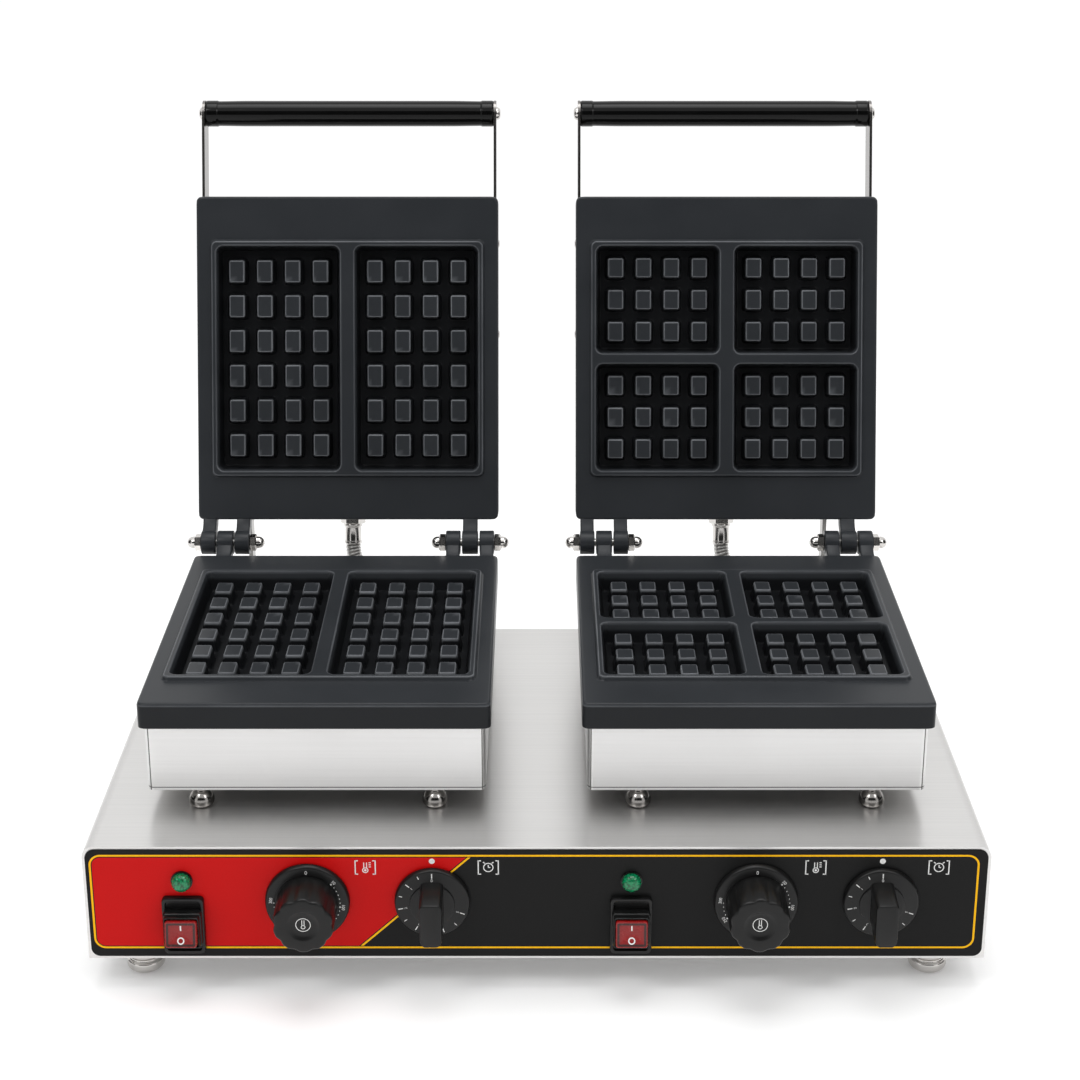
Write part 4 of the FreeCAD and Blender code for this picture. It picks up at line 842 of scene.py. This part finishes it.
def plate_wear(x, y, form):
    """How pale the edges are painted: a painted highlight with some scuffed coating, most on the edges of the
    pegs, less on those of rim and cavities
    """
    highlight_and_wear = 0.6 * rubbed(rim_distance(x, y) + rim_run)
    for wall, peg in cavity_distances(x, y, form):
        highlight_and_wear = np.maximum(highlight_and_wear, 0.5 * rubbed(wall))
        highlight_and_wear = np.maximum(highlight_and_wear, np.where(wall < 0, rubbed(peg + peg_run / 2), 0))
    return highlight_and_wear


def grid_lines(size, edges, reach=1.9 * mm, step=0.5 * mm, coarse=6.0 * mm):
    """Places of grid lines: close together near the edges of the form and wide apart elsewhere"""
    half = size / 2
    near = (np.asarray(edges)[:, None] + np.arange(-reach, reach + step / 2, step)).ravel()
    near = near[np.abs(near) < half - 0.3 * step]
    lines = np.sort(np.concatenate([near, np.arange(-half, half, coarse)]))
    lines = lines[np.concatenate([[True], np.diff(lines) > 0.3 * step])]
    return np.concatenate([[-half], lines[np.abs(lines) < half - 0.3 * step], [half]])


def form_edges(middles, pitch, count, half, length, rim, size):
    """Places, one way across the plate, of the edges of pegs, cavities, rim and flange"""
    pegs = [middle + (i - (count - 1) / 2) * pitch + side * half for middle in middles for i in range(count)
            for side in (-1, 1)]
    walls = [middle + side * (length / 2 - inward) for middle in middles for side in (-1, 1)
             for inward in (0, wall_run)]
    return pegs + walls + [side * (width / 2 - 0.9 * mm) for width in (rim, size) for side in (-1, 1)]


def plate_surface(form):
    """Grid over the plate, with its corners pressed round, then the side and the underside"""
    edges_x = form_edges(form["columns"], peg_pitch, PEG_COLUMNS, peg_half, cavity_width, rim_width,
                         plate_width)
    edges_y = form_edges(form["rows"], form["pitch"], form["pegs"], form["half"], form["length"], rim_length,
                         plate_length)
    x, y = grid_lines(plate_width, edges_x), grid_lines(plate_length, edges_y)
    across, along = np.meshgrid(x, y, indexing="ij")
    straight_x, straight_y = plate_width / 2 - plate_corner, plate_length / 2 - plate_corner
    past_x = np.maximum(np.abs(across) - straight_x, 0)
    past_y = np.maximum(np.abs(along) - straight_y, 0)
    pressed = np.maximum(past_x, past_y) / np.maximum(np.hypot(past_x, past_y), 1e-9)
    corner = (past_x > 0) & (past_y > 0)
    across = np.where(corner, np.sign(across) * (straight_x + past_x * pressed), across)
    along = np.where(corner, np.sign(along) * (straight_y + past_y * pressed), along)
    height = plate_height(across, along, form)
    # Painted highlight, with some scuffed coating, along the edges of pegs, rim and cavities; the outer edge
    # of the grid gets it too.
    worn = plate_wear(across, along, form)
    worn[[0, -1], :] = worn[:, [0, -1]] = 0.4
    number = np.arange(across.size).reshape(across.shape)
    top = np.stack([across, along + plate_middle, height], -1).reshape(-1, 3)
    faces = np.stack([number[:-1, :-1], number[1:, :-1], number[1:, 1:], number[:-1, 1:]], -1).reshape(-1, 4)
    loop = np.concatenate([number[:-1, 0], number[-1, :-1], number[:0:-1, -1], number[0, :0:-1]])
    outline = top[loop] * (1, 1, 0)
    bands = [outline + (0, 0, flange_top - plate_round - 0.8 * mm), outline + (0, 0, flange_under + 0.8 * mm),
             (outline - (0, plate_middle, 0)) * 0.992 + (0, plate_middle, flange_under)]
    rings = [loop] + [len(top) + len(loop) * band + np.arange(len(loop)) for band in range(len(bands))]
    side = [np.stack([a, np.roll(a, -1), np.roll(b, -1), b], -1) for a, b in zip(rings, rings[1:])]
    polygons = faces.tolist() + np.concatenate(side).tolist() + [rings[-1].tolist()]
    peg_top = flange_top + rim_height - cavity_depth + peg_height
    # Painted shade: inside the rim the casting is darker and less glossy below the peg tops, and its sides
    # are darker too.
    deep = np.clip((peg_top - 0.15 * mm - height) / (0.9 * mm), 0, 1) * (rim_distance(across, along) < 0)
    sides = np.ones(len(bands) * len(loop))
    return ((np.concatenate([top] + bands), polygons), np.concatenate([worn.ravel(), 0 * sides]),
            np.concatenate([deep.ravel(), 0.6 * sides]))


def coated_casting():
    """Non-stick coating: charcoal with fine grit and a broad sheen; paler along the edges, a painted
    highlight with some scuffed coating, and darker in the recesses, which is painted shade
    """
    material, shader, place = new_material("coated casting")
    cloud = noise(place, 22.0, 4.0)
    deep = attribute(shader, "deep")
    patches = node(cloud.id_data, "MapRange", {"Value": cloud, "From Min": 0.3, "From Max": 0.7,
                                               "To Min": 0.55})
    feed(shader, base_color=mixed(cloud, (0.0190, 0.0212, 0.0240), (0.0275, 0.0300, 0.0340)),
         roughness=ranged(cloud, 0.26, 0.38), specular_ior_level=ranged(deep, 0.20, 0.11),
         normal=raised(noise(place, 1300.0, 3.0), 0.22, 0.08 * mm))
    # Painted shade: darker coating down the pegs and on the cavity floors.
    overlaid(shader, deep, (0.007, 0.0075, 0.0085))
    # Painted highlight: the coating is paler in patches along the edges, partly as scuffing.
    overlaid(shader, reckon("MULTIPLY", attribute(shader, "worn"), patches[0]), (0.20, 0.21, 0.225))
    return material


HINGE = {station: np.array(joints[f"{station}_lid"]["pos_m"]) for station in STATIONS}
open_angle = math.radians(joints["left_lid"]["range_deg"][1])
PEG_COLUMNS = 4
plate_width, plate_length, plate_corner, plate_round = 229.0 * mm, 246.0 * mm, 4.5 * mm, 1.8 * mm
plate_middle = -(17.0 * mm + plate_length / 2)
flange_top, flange_under = -3.15 * mm, -21.65 * mm
rim_width, rim_length, rim_wall, rim_corner = 208.5 * mm, 181.0 * mm, 4.5 * mm, 5.5 * mm
rim_height, rim_run = 3.0 * mm, 1.8 * mm
divider, cross_divider = 10.2 * mm, 7.0 * mm
cavity_depth, cavity_corner, wall_run = 14.5 * mm, 6.0 * mm, 3.9 * mm
cavity_width = (rim_width - 2 * rim_wall - divider) / 2
full_length = rim_length - 2 * rim_wall
half_length = (full_length - cross_divider) / 2
peg_height, peg_half, peg_pitch, peg_run, peg_corner = 10.0 * mm, 6.68 * mm, 21.2 * mm, 2.6 * mm, 2.2 * mm
edge_reach = 0.58 * mm
column, row = (cavity_width + divider) / 2, (half_length + cross_divider) / 2
FORMS = {
    "left": {"columns": (-column, column), "rows": (0.0,), "length": full_length, "pegs": 6,
             "pitch": 26.5 * mm, "half": 9.2 * mm},
    "right": {"columns": (-column, column), "rows": (-row, row), "length": half_length, "pegs": 3,
              "pitch": 24.2 * mm, "half": 8.15 * mm},
}
coating = coated_casting()
for station in STATIONS:
    surface, worn, deep = plate_surface(FORMS[station])
    for level, seat, body in (("lower", on_lower, "base"), ("upper", on_lid, f"{station}_lid")):
        plate = piece(f"{station}_{level}_casting", seated([surface], seat, station), coating, body,
                      worn=worn, deep=deep)
        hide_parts(f"{station}_{level}_plate")

# Hinge lugs: cast with the plates, one broad knuckle at one side and two ears at the other.
# Their round ends are bored for the pins, and they carry the same coating.


def lug_surfaces(middle, width):
    """Round eye with rounded edges, and a web that tapers from the casting's rear face to the eye"""
    half = width / 2
    eye = softened([(0, -half), (knuckle_radius, -half), (knuckle_radius, half), (0, half)], 0.9 * mm)
    web = []
    for y, z_low, z_high in ((-19.0, -16.2, -4.0), (-12.0, -13.5, -1.5), (-6.0, -9.5, 4.0), (0.0, -5.0, 5.0)):
        ring = rounded_rectangle(width - 0.8 * mm, (z_high - z_low) * mm, 1.2 * mm, 4)
        web.append(np.column_stack([ring[:, 0] + middle, np.full(len(ring), y * mm),
                                    ring[:, 1] + (z_low + z_high) / 2 * mm]))
    return [turned(eye, (middle, 0, 0), (1, 0, 0), 48), skin(np.stack(web))]


knuckle_radius = 9.0 * mm
hinge_side = plate_width / 2 - 21.5 * mm
ear_offset, ear_width, knuckle_width = 12.8 * mm, 11.0 * mm, 12.0 * mm
LUGS = [(-hinge_side, knuckle_width)] + [(hinge_side + way * ear_offset, ear_width) for way in (-1, 1)]
for station in STATIONS:
    surfaces = [surface for lug in LUGS for surface in lug_surfaces(*lug)]
    for level, seat, body in (("lower", on_lower, "base"), ("upper", on_lid, f"{station}_lid")):
        lugs = piece(f"{station}_{level}_hinge_lugs", seated(surfaces, seat, station), coating, body)

# Hinge pins and nuts: steel pins through the lugs, with a nickel-plated domed nut on either end.
# The nuts stop short of the ears, so that the lids swing freely.


def nut_surfaces(face, way):
    """Six-sided nut with its corners turned off, under a high round dome"""
    flats, length, dome_radius, dome_length, straight = 11.2 * mm, 5.0 * mm, 4.6 * mm, 6.0 * mm, 1.2 * mm
    across = flats / math.sqrt(3)
    hexagon = [(0, 0), (across - 0.5 * mm, 0), (across, 0.5 * mm), (across, length - 0.8 * mm),
               (across - 0.9 * mm, length), (0, length)]
    rise = np.linspace(0, np.pi / 2, 9)
    dome = [(dome_radius, length - 0.5 * mm)]
    dome += zip(dome_radius * np.cos(rise), length + straight + (dome_length - straight) * np.sin(rise))
    return [turned(hexagon, (face, 0, 0), (way, 0, 0), 6), turned(dome, (face, 0, 0), (way, 0, 0), 32)]


half_knuckle, ear_gap, nut_gap = knuckle_width / 2, 1.3 * mm, 0.2 * mm
nut_face = half_knuckle + ear_gap + ear_width + nut_gap
for station in STATIONS:
    surfaces = [surface for hinge in (-hinge_side, hinge_side) for way in (-1, 1)
                for surface in nut_surfaces(hinge + way * nut_face, way)]
    nuts = piece(f"{station}_domed_nuts", seated(surfaces, on_lower, station), bright_metal, "base")
    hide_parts(f"{station}_hinge_nuts")
    dress(plain_steel, f"{station}_hinge_pins")

# Lid stops, heaters and clamp plates: plain bent bar behind each tub, and the hot parts shut inside it.
# The heaters are sheathed in steel that has turned brown and blue with heat.

sheath = mottled("heater sheath", 30.0, 3.0, (0.30, 0.24, 0.19), (0.24, 0.26, 0.31), 0.40, 0.60,
                 metallic=1.0)[0]
stop_steel = steel_rod("stop bar steel", (0.46, 0.455, 0.44), (0.36, 0.355, 0.345))
for station in STATIONS:
    dress(stop_steel, f"{station}_lid_stop")
    dress(plain_steel, f"{station}_lower_clamp_plate", f"{station}_upper_clamp_plate")
    dress(sheath, f"{station}_lower_element", f"{station}_upper_element")

# Lid covers and handles: the same bent steel tub over the upper casting, with a flat arm screwed to each
# side. A black heat-proof grip is held between the arms by a dome-head screw at each end.

cover_steel = brushed_steel("cover sheet steel", (9.0, 700.0, 700.0), (0.68, 0.675, 0.665),
                            (0.60, 0.595, 0.585), 0.24, 0.34, 0.06)
arm_steel = brushed_steel("arm steel", (600.0, 600.0, 20.0), (0.27, 0.26, 0.25), (0.20, 0.19, 0.185),
                          0.18, 0.28, 0.06)
grip_black = moulded_plastic("grip black", 0.002, 0.004, 0.07, 0.12, 0.02, 0.20)
for station in STATIONS:
    dress(cover_steel, f"{station}_upper_cover")
    dress(arm_steel, f"{station}_handle_arms")
    dress(bright_metal, f"{station}_handle_screws")
    low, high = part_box(f"{station}_grip")
    radius, half = (high.z - low.z) / 2, (high.x - low.x) / 2
    end = [(radius - inset * mm, step * mm - half)
           for inset, step in ((0.6, 0), (0, 1.2), (0, 9.0), (0.5, 10.0), (0.2, 30.0))]
    outline = [(0, -half)] + end + [(reach, -along) for reach, along in reversed(end)] + [(0, half)]
    surface = turned(softened(outline, 0.5 * mm), (low + high) / 2, (1, 0, 0), 64)
    grip = piece(f"{station}_grip_moulded", [surface], grip_black, f"{station}_lid")
    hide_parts(f"{station}_grip")

# Conduits: a spiral-wound metal hose carries the wires from each housing to its lid, in a nut and ferrule at
# both ends. It is held at both ends, and its bend is drawn for the lid standing open.


def fitting_surfaces(across):
    """Hexagon nut against the tub, then a smooth ferrule with a rolled lip"""
    nut_end, end = tub_rear + 11.0 * mm, tub_rear + fitting_length
    nut = rows(0, tub_rear, (0, 0, 0), (9.0, 0, 0), (9.6, 0.6, 0))
    nut += rows(0, nut_end, (9.6, -0.9, 0), (8.4, 0, 0), (0, 0, 0))
    ferrule = rows(0, nut_end, (0, -1.0, 0), (7.2, -1.0, 0), (7.2, 1.6, 0), (6.3, 2.4, 0))
    ferrule += rows(0, end, (6.3, -2.4, 0), (6.8, -1.8, 0), (6.8, 0, 0), (0, 0, 0))
    centre = (across, 0, tub_middle)
    smooth = softened(np.array(ferrule)[:, :2], 0.6 * mm)
    return [turned(np.array(nut)[:, :2], centre, (0, 1, 0), 6), turned(smooth, centre, (0, 1, 0))]


def hose_route(station):
    """Points of the hose's line: straight out of both ferrules, with the loose bend between them"""
    out = tub_rear + fitting_length
    leads = np.array([(0, out, tub_middle), (0, out + hose_lead, tub_middle)])
    return np.concatenate([on_lid(leads, station), on_lower(leads[::-1] + (hose_across, 0, 0), station)])


def smooth_line(points):
    """Points read from one smooth spline through the route's space, with the route as its control points"""
    curve = bpy.data.curves.new("route", "CURVE")
    curve.dimensions = "3D"
    spline = curve.splines.new("NURBS")
    spline.points.add(len(points) - 1)
    spline.points.foreach_set("co", np.column_stack([points, np.ones(len(points))]).ravel())
    spline.order_u = 3
    spline.use_endpoint_u = True
    spline.resolution_u = 48
    return read_curve(curve)[0]


def hose_surface(line):
    """Tube along the line whose radius falls in a helix of grooves: one for each pitch and each turn round"""
    along = np.concatenate([[0], np.cumsum(np.linalg.norm(np.diff(line, axis=0), axis=1))])
    even = np.linspace(0, along[-1], int(along[-1] / (0.45 * mm)))
    line = np.stack([np.interp(even, along, line[:, axis]) for axis in range(3)], -1)
    ahead = np.gradient(line, axis=0)
    ahead /= np.linalg.norm(ahead, axis=1)[:, None]
    lean = np.array([-0.5, -0.5, 0.7])
    side = lean - (ahead @ lean)[:, None] * ahead
    side /= np.linalg.norm(side, axis=1)[:, None]
    other = np.cross(ahead, side)
    turn = even_turns(28)
    groove = (0.5 - 0.5 * np.cos(even[:, None] / hose_pitch * 2 * np.pi - turn[None, :])) ** 2
    radius = hose_radius - groove_depth * groove
    ring = np.cos(turn)[None, :, None] * side[:, None] + np.sin(turn)[None, :, None] * other[:, None]
    return skin(line[:, None] + radius[..., None] * ring), groove.ravel()


wound_hose, hose_shader, _ = mottled(
    "wound hose", 300.0, 3.0, (0.58, 0.575, 0.56), (0.70, 0.695, 0.68), 0.22, 0.40, metallic=1.0)
# Painted shade: the hose is darker down in its grooves.
overlaid(hose_shader, attribute(hose_shader, "groove"), (0.22, 0.21, 0.20))
tub_middle = flange_under - 23.0 * mm
tub_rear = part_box("left_lower_housing")[1].y - HINGE["left"][1]
fitting_length, hose_lead = 26.5 * mm, 24.0 * mm
hose_across, hose_radius, hose_pitch, groove_depth = 44.0 * mm, 6.0 * mm, 2.6 * mm, 0.75 * mm
for station in STATIONS:
    for level, seat, body, across in (("lower", on_lower, "base", hose_across),
                                      ("upper", on_lid, f"{station}_lid", 0.0)):
        fitting = piece(f"{station}_{level}_fitting_turned", seated(fitting_surfaces(across), seat, station),
                        bright_metal, body)
        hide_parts(f"{station}_{level}_conduit_fitting")
    line = smooth_line(hose_route(station))
    surface, groove = hose_surface(line)
    hose = piece(f"{station}_wound_hose", [surface], wound_hose, "base", groove=groove)
    hose.parent = None
    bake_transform(hose)
    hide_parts(f"{station}_conduit")

# Stage: a plain white floor and sky, soft lamps, dark cards for the metal to mirror, and the camera at the
# photograph's place. The floor keeps the object's shadow, and is lifted to white only where it is seen or
# mirrored.


def floor_material():
    """Matt white, with a faint uneven tone and a small lift where the camera or a mirror looks at it"""
    material, shader, _ = mottled("studio floor", 0.6, 2.0, (0.91, 0.91, 0.91), (0.93, 0.93, 0.93),
                                        0.9, 0.9, specular_ior_level=0.1, emission_color=(1, 1, 1))
    path = node(shader.id_data, "LightPath", {})
    mirrored = reckon("MAXIMUM", path["Is Glossy Ray"], path["Is Transmission Ray"])
    seen = reckon("MAXIMUM", path["Is Camera Ray"], mirrored)
    feed(shader, emission_strength=reckon("MULTIPLY", seen, 0.12))
    return material


def sheet(name, points, material):
    """A flat four-cornered thing of the stage"""
    mesh = bpy.data.meshes.new(name)
    mesh.from_pydata(points, [], [(0, 1, 2, 3)])
    mesh.materials.append(material)
    made = bpy.data.objects.new(name, mesh)
    bpy.context.scene.collection.objects.link(made)
    return made


def dark_card(name, place, across, up, shades=False):
    """A dark upright card outside the picture, which reflections see, and which may shade the set as well"""
    place, across, up = np.array(place), np.array(across), np.array((0, 0, up))
    points = [place - across - up, place + across - up, place + across + up, place - across + up]
    card = sheet(name, points, moulded_plastic(name, 0.02, 0.03, 0.8, 0.9, 0.0, 0.1))
    card.visible_camera = card.visible_shadow = False
    card.visible_diffuse = shades


def lamp(name, place, aim, size, power, spread=180.0):
    """A square soft box that looks at a point of the object, with its light held to a cone"""
    light = bpy.data.lights.new(name, "AREA")
    light.spread = math.radians(spread)
    light.size = size
    light.energy = power
    holder = bpy.data.objects.new(name, light)
    x, y, z = np.subtract(place, aim)
    holder.location = place
    holder.rotation_euler = (math.atan2(math.hypot(x, y), z), 0, math.atan2(x, -y))
    bpy.context.scene.collection.objects.link(holder)


side = 6.0
sheet("floor", [(-side, -side, 0), (side, -side, 0), (side, side, 0), (-side, side, 0)], floor_material())
sky = bpy.data.worlds.new("studio")
sky.use_nodes = True
sky.node_tree.nodes["Background"].inputs["Color"].default_value = (1, 1, 1, 1)
bpy.context.scene.world = sky
lamp("key", (-1.0, -1.2, 2.0), (0, 0, 0.2), 0.6, 7.0)
lamp("fill", (1.2, -1.2, 1.8), (0, 0, 0.2), 0.6, 5.0)
lamp("top", (0.0, 0.0, 2.3), (0, -0.02, 0.2), 1.3, 3.0, 70.0)
dark_card("left_card", (-1.5, -0.3, 0.7), (0, 0.7, 0), 0.7)
dark_card("right_card", (1.5, -0.3, 0.7), (0, 0.7, 0), 0.7)
dark_card("front_card", (0, -2.4, 1.4), (1.7, 0, 0), 0.9, shades=True)

camera_data = bpy.data.cameras.new("photograph")
camera_data.sensor_width = 36.0
camera_data.lens = 69.87
camera_data.shift_y = -0.1296
camera_data.clip_start, camera_data.clip_end = 0.05, 50.0
camera = bpy.data.objects.new("photograph", camera_data)
camera_pitch = 0.326
camera.location = (2.25 * mm, -1377.8 * mm, 801.2 * mm)
camera.rotation_euler = (math.pi / 2 - camera_pitch, 0, 0)
bpy.context.scene.collection.objects.link(camera)
bpy.context.scene.camera = camera
bpy.context.scene.view_settings.view_transform = "Standard"
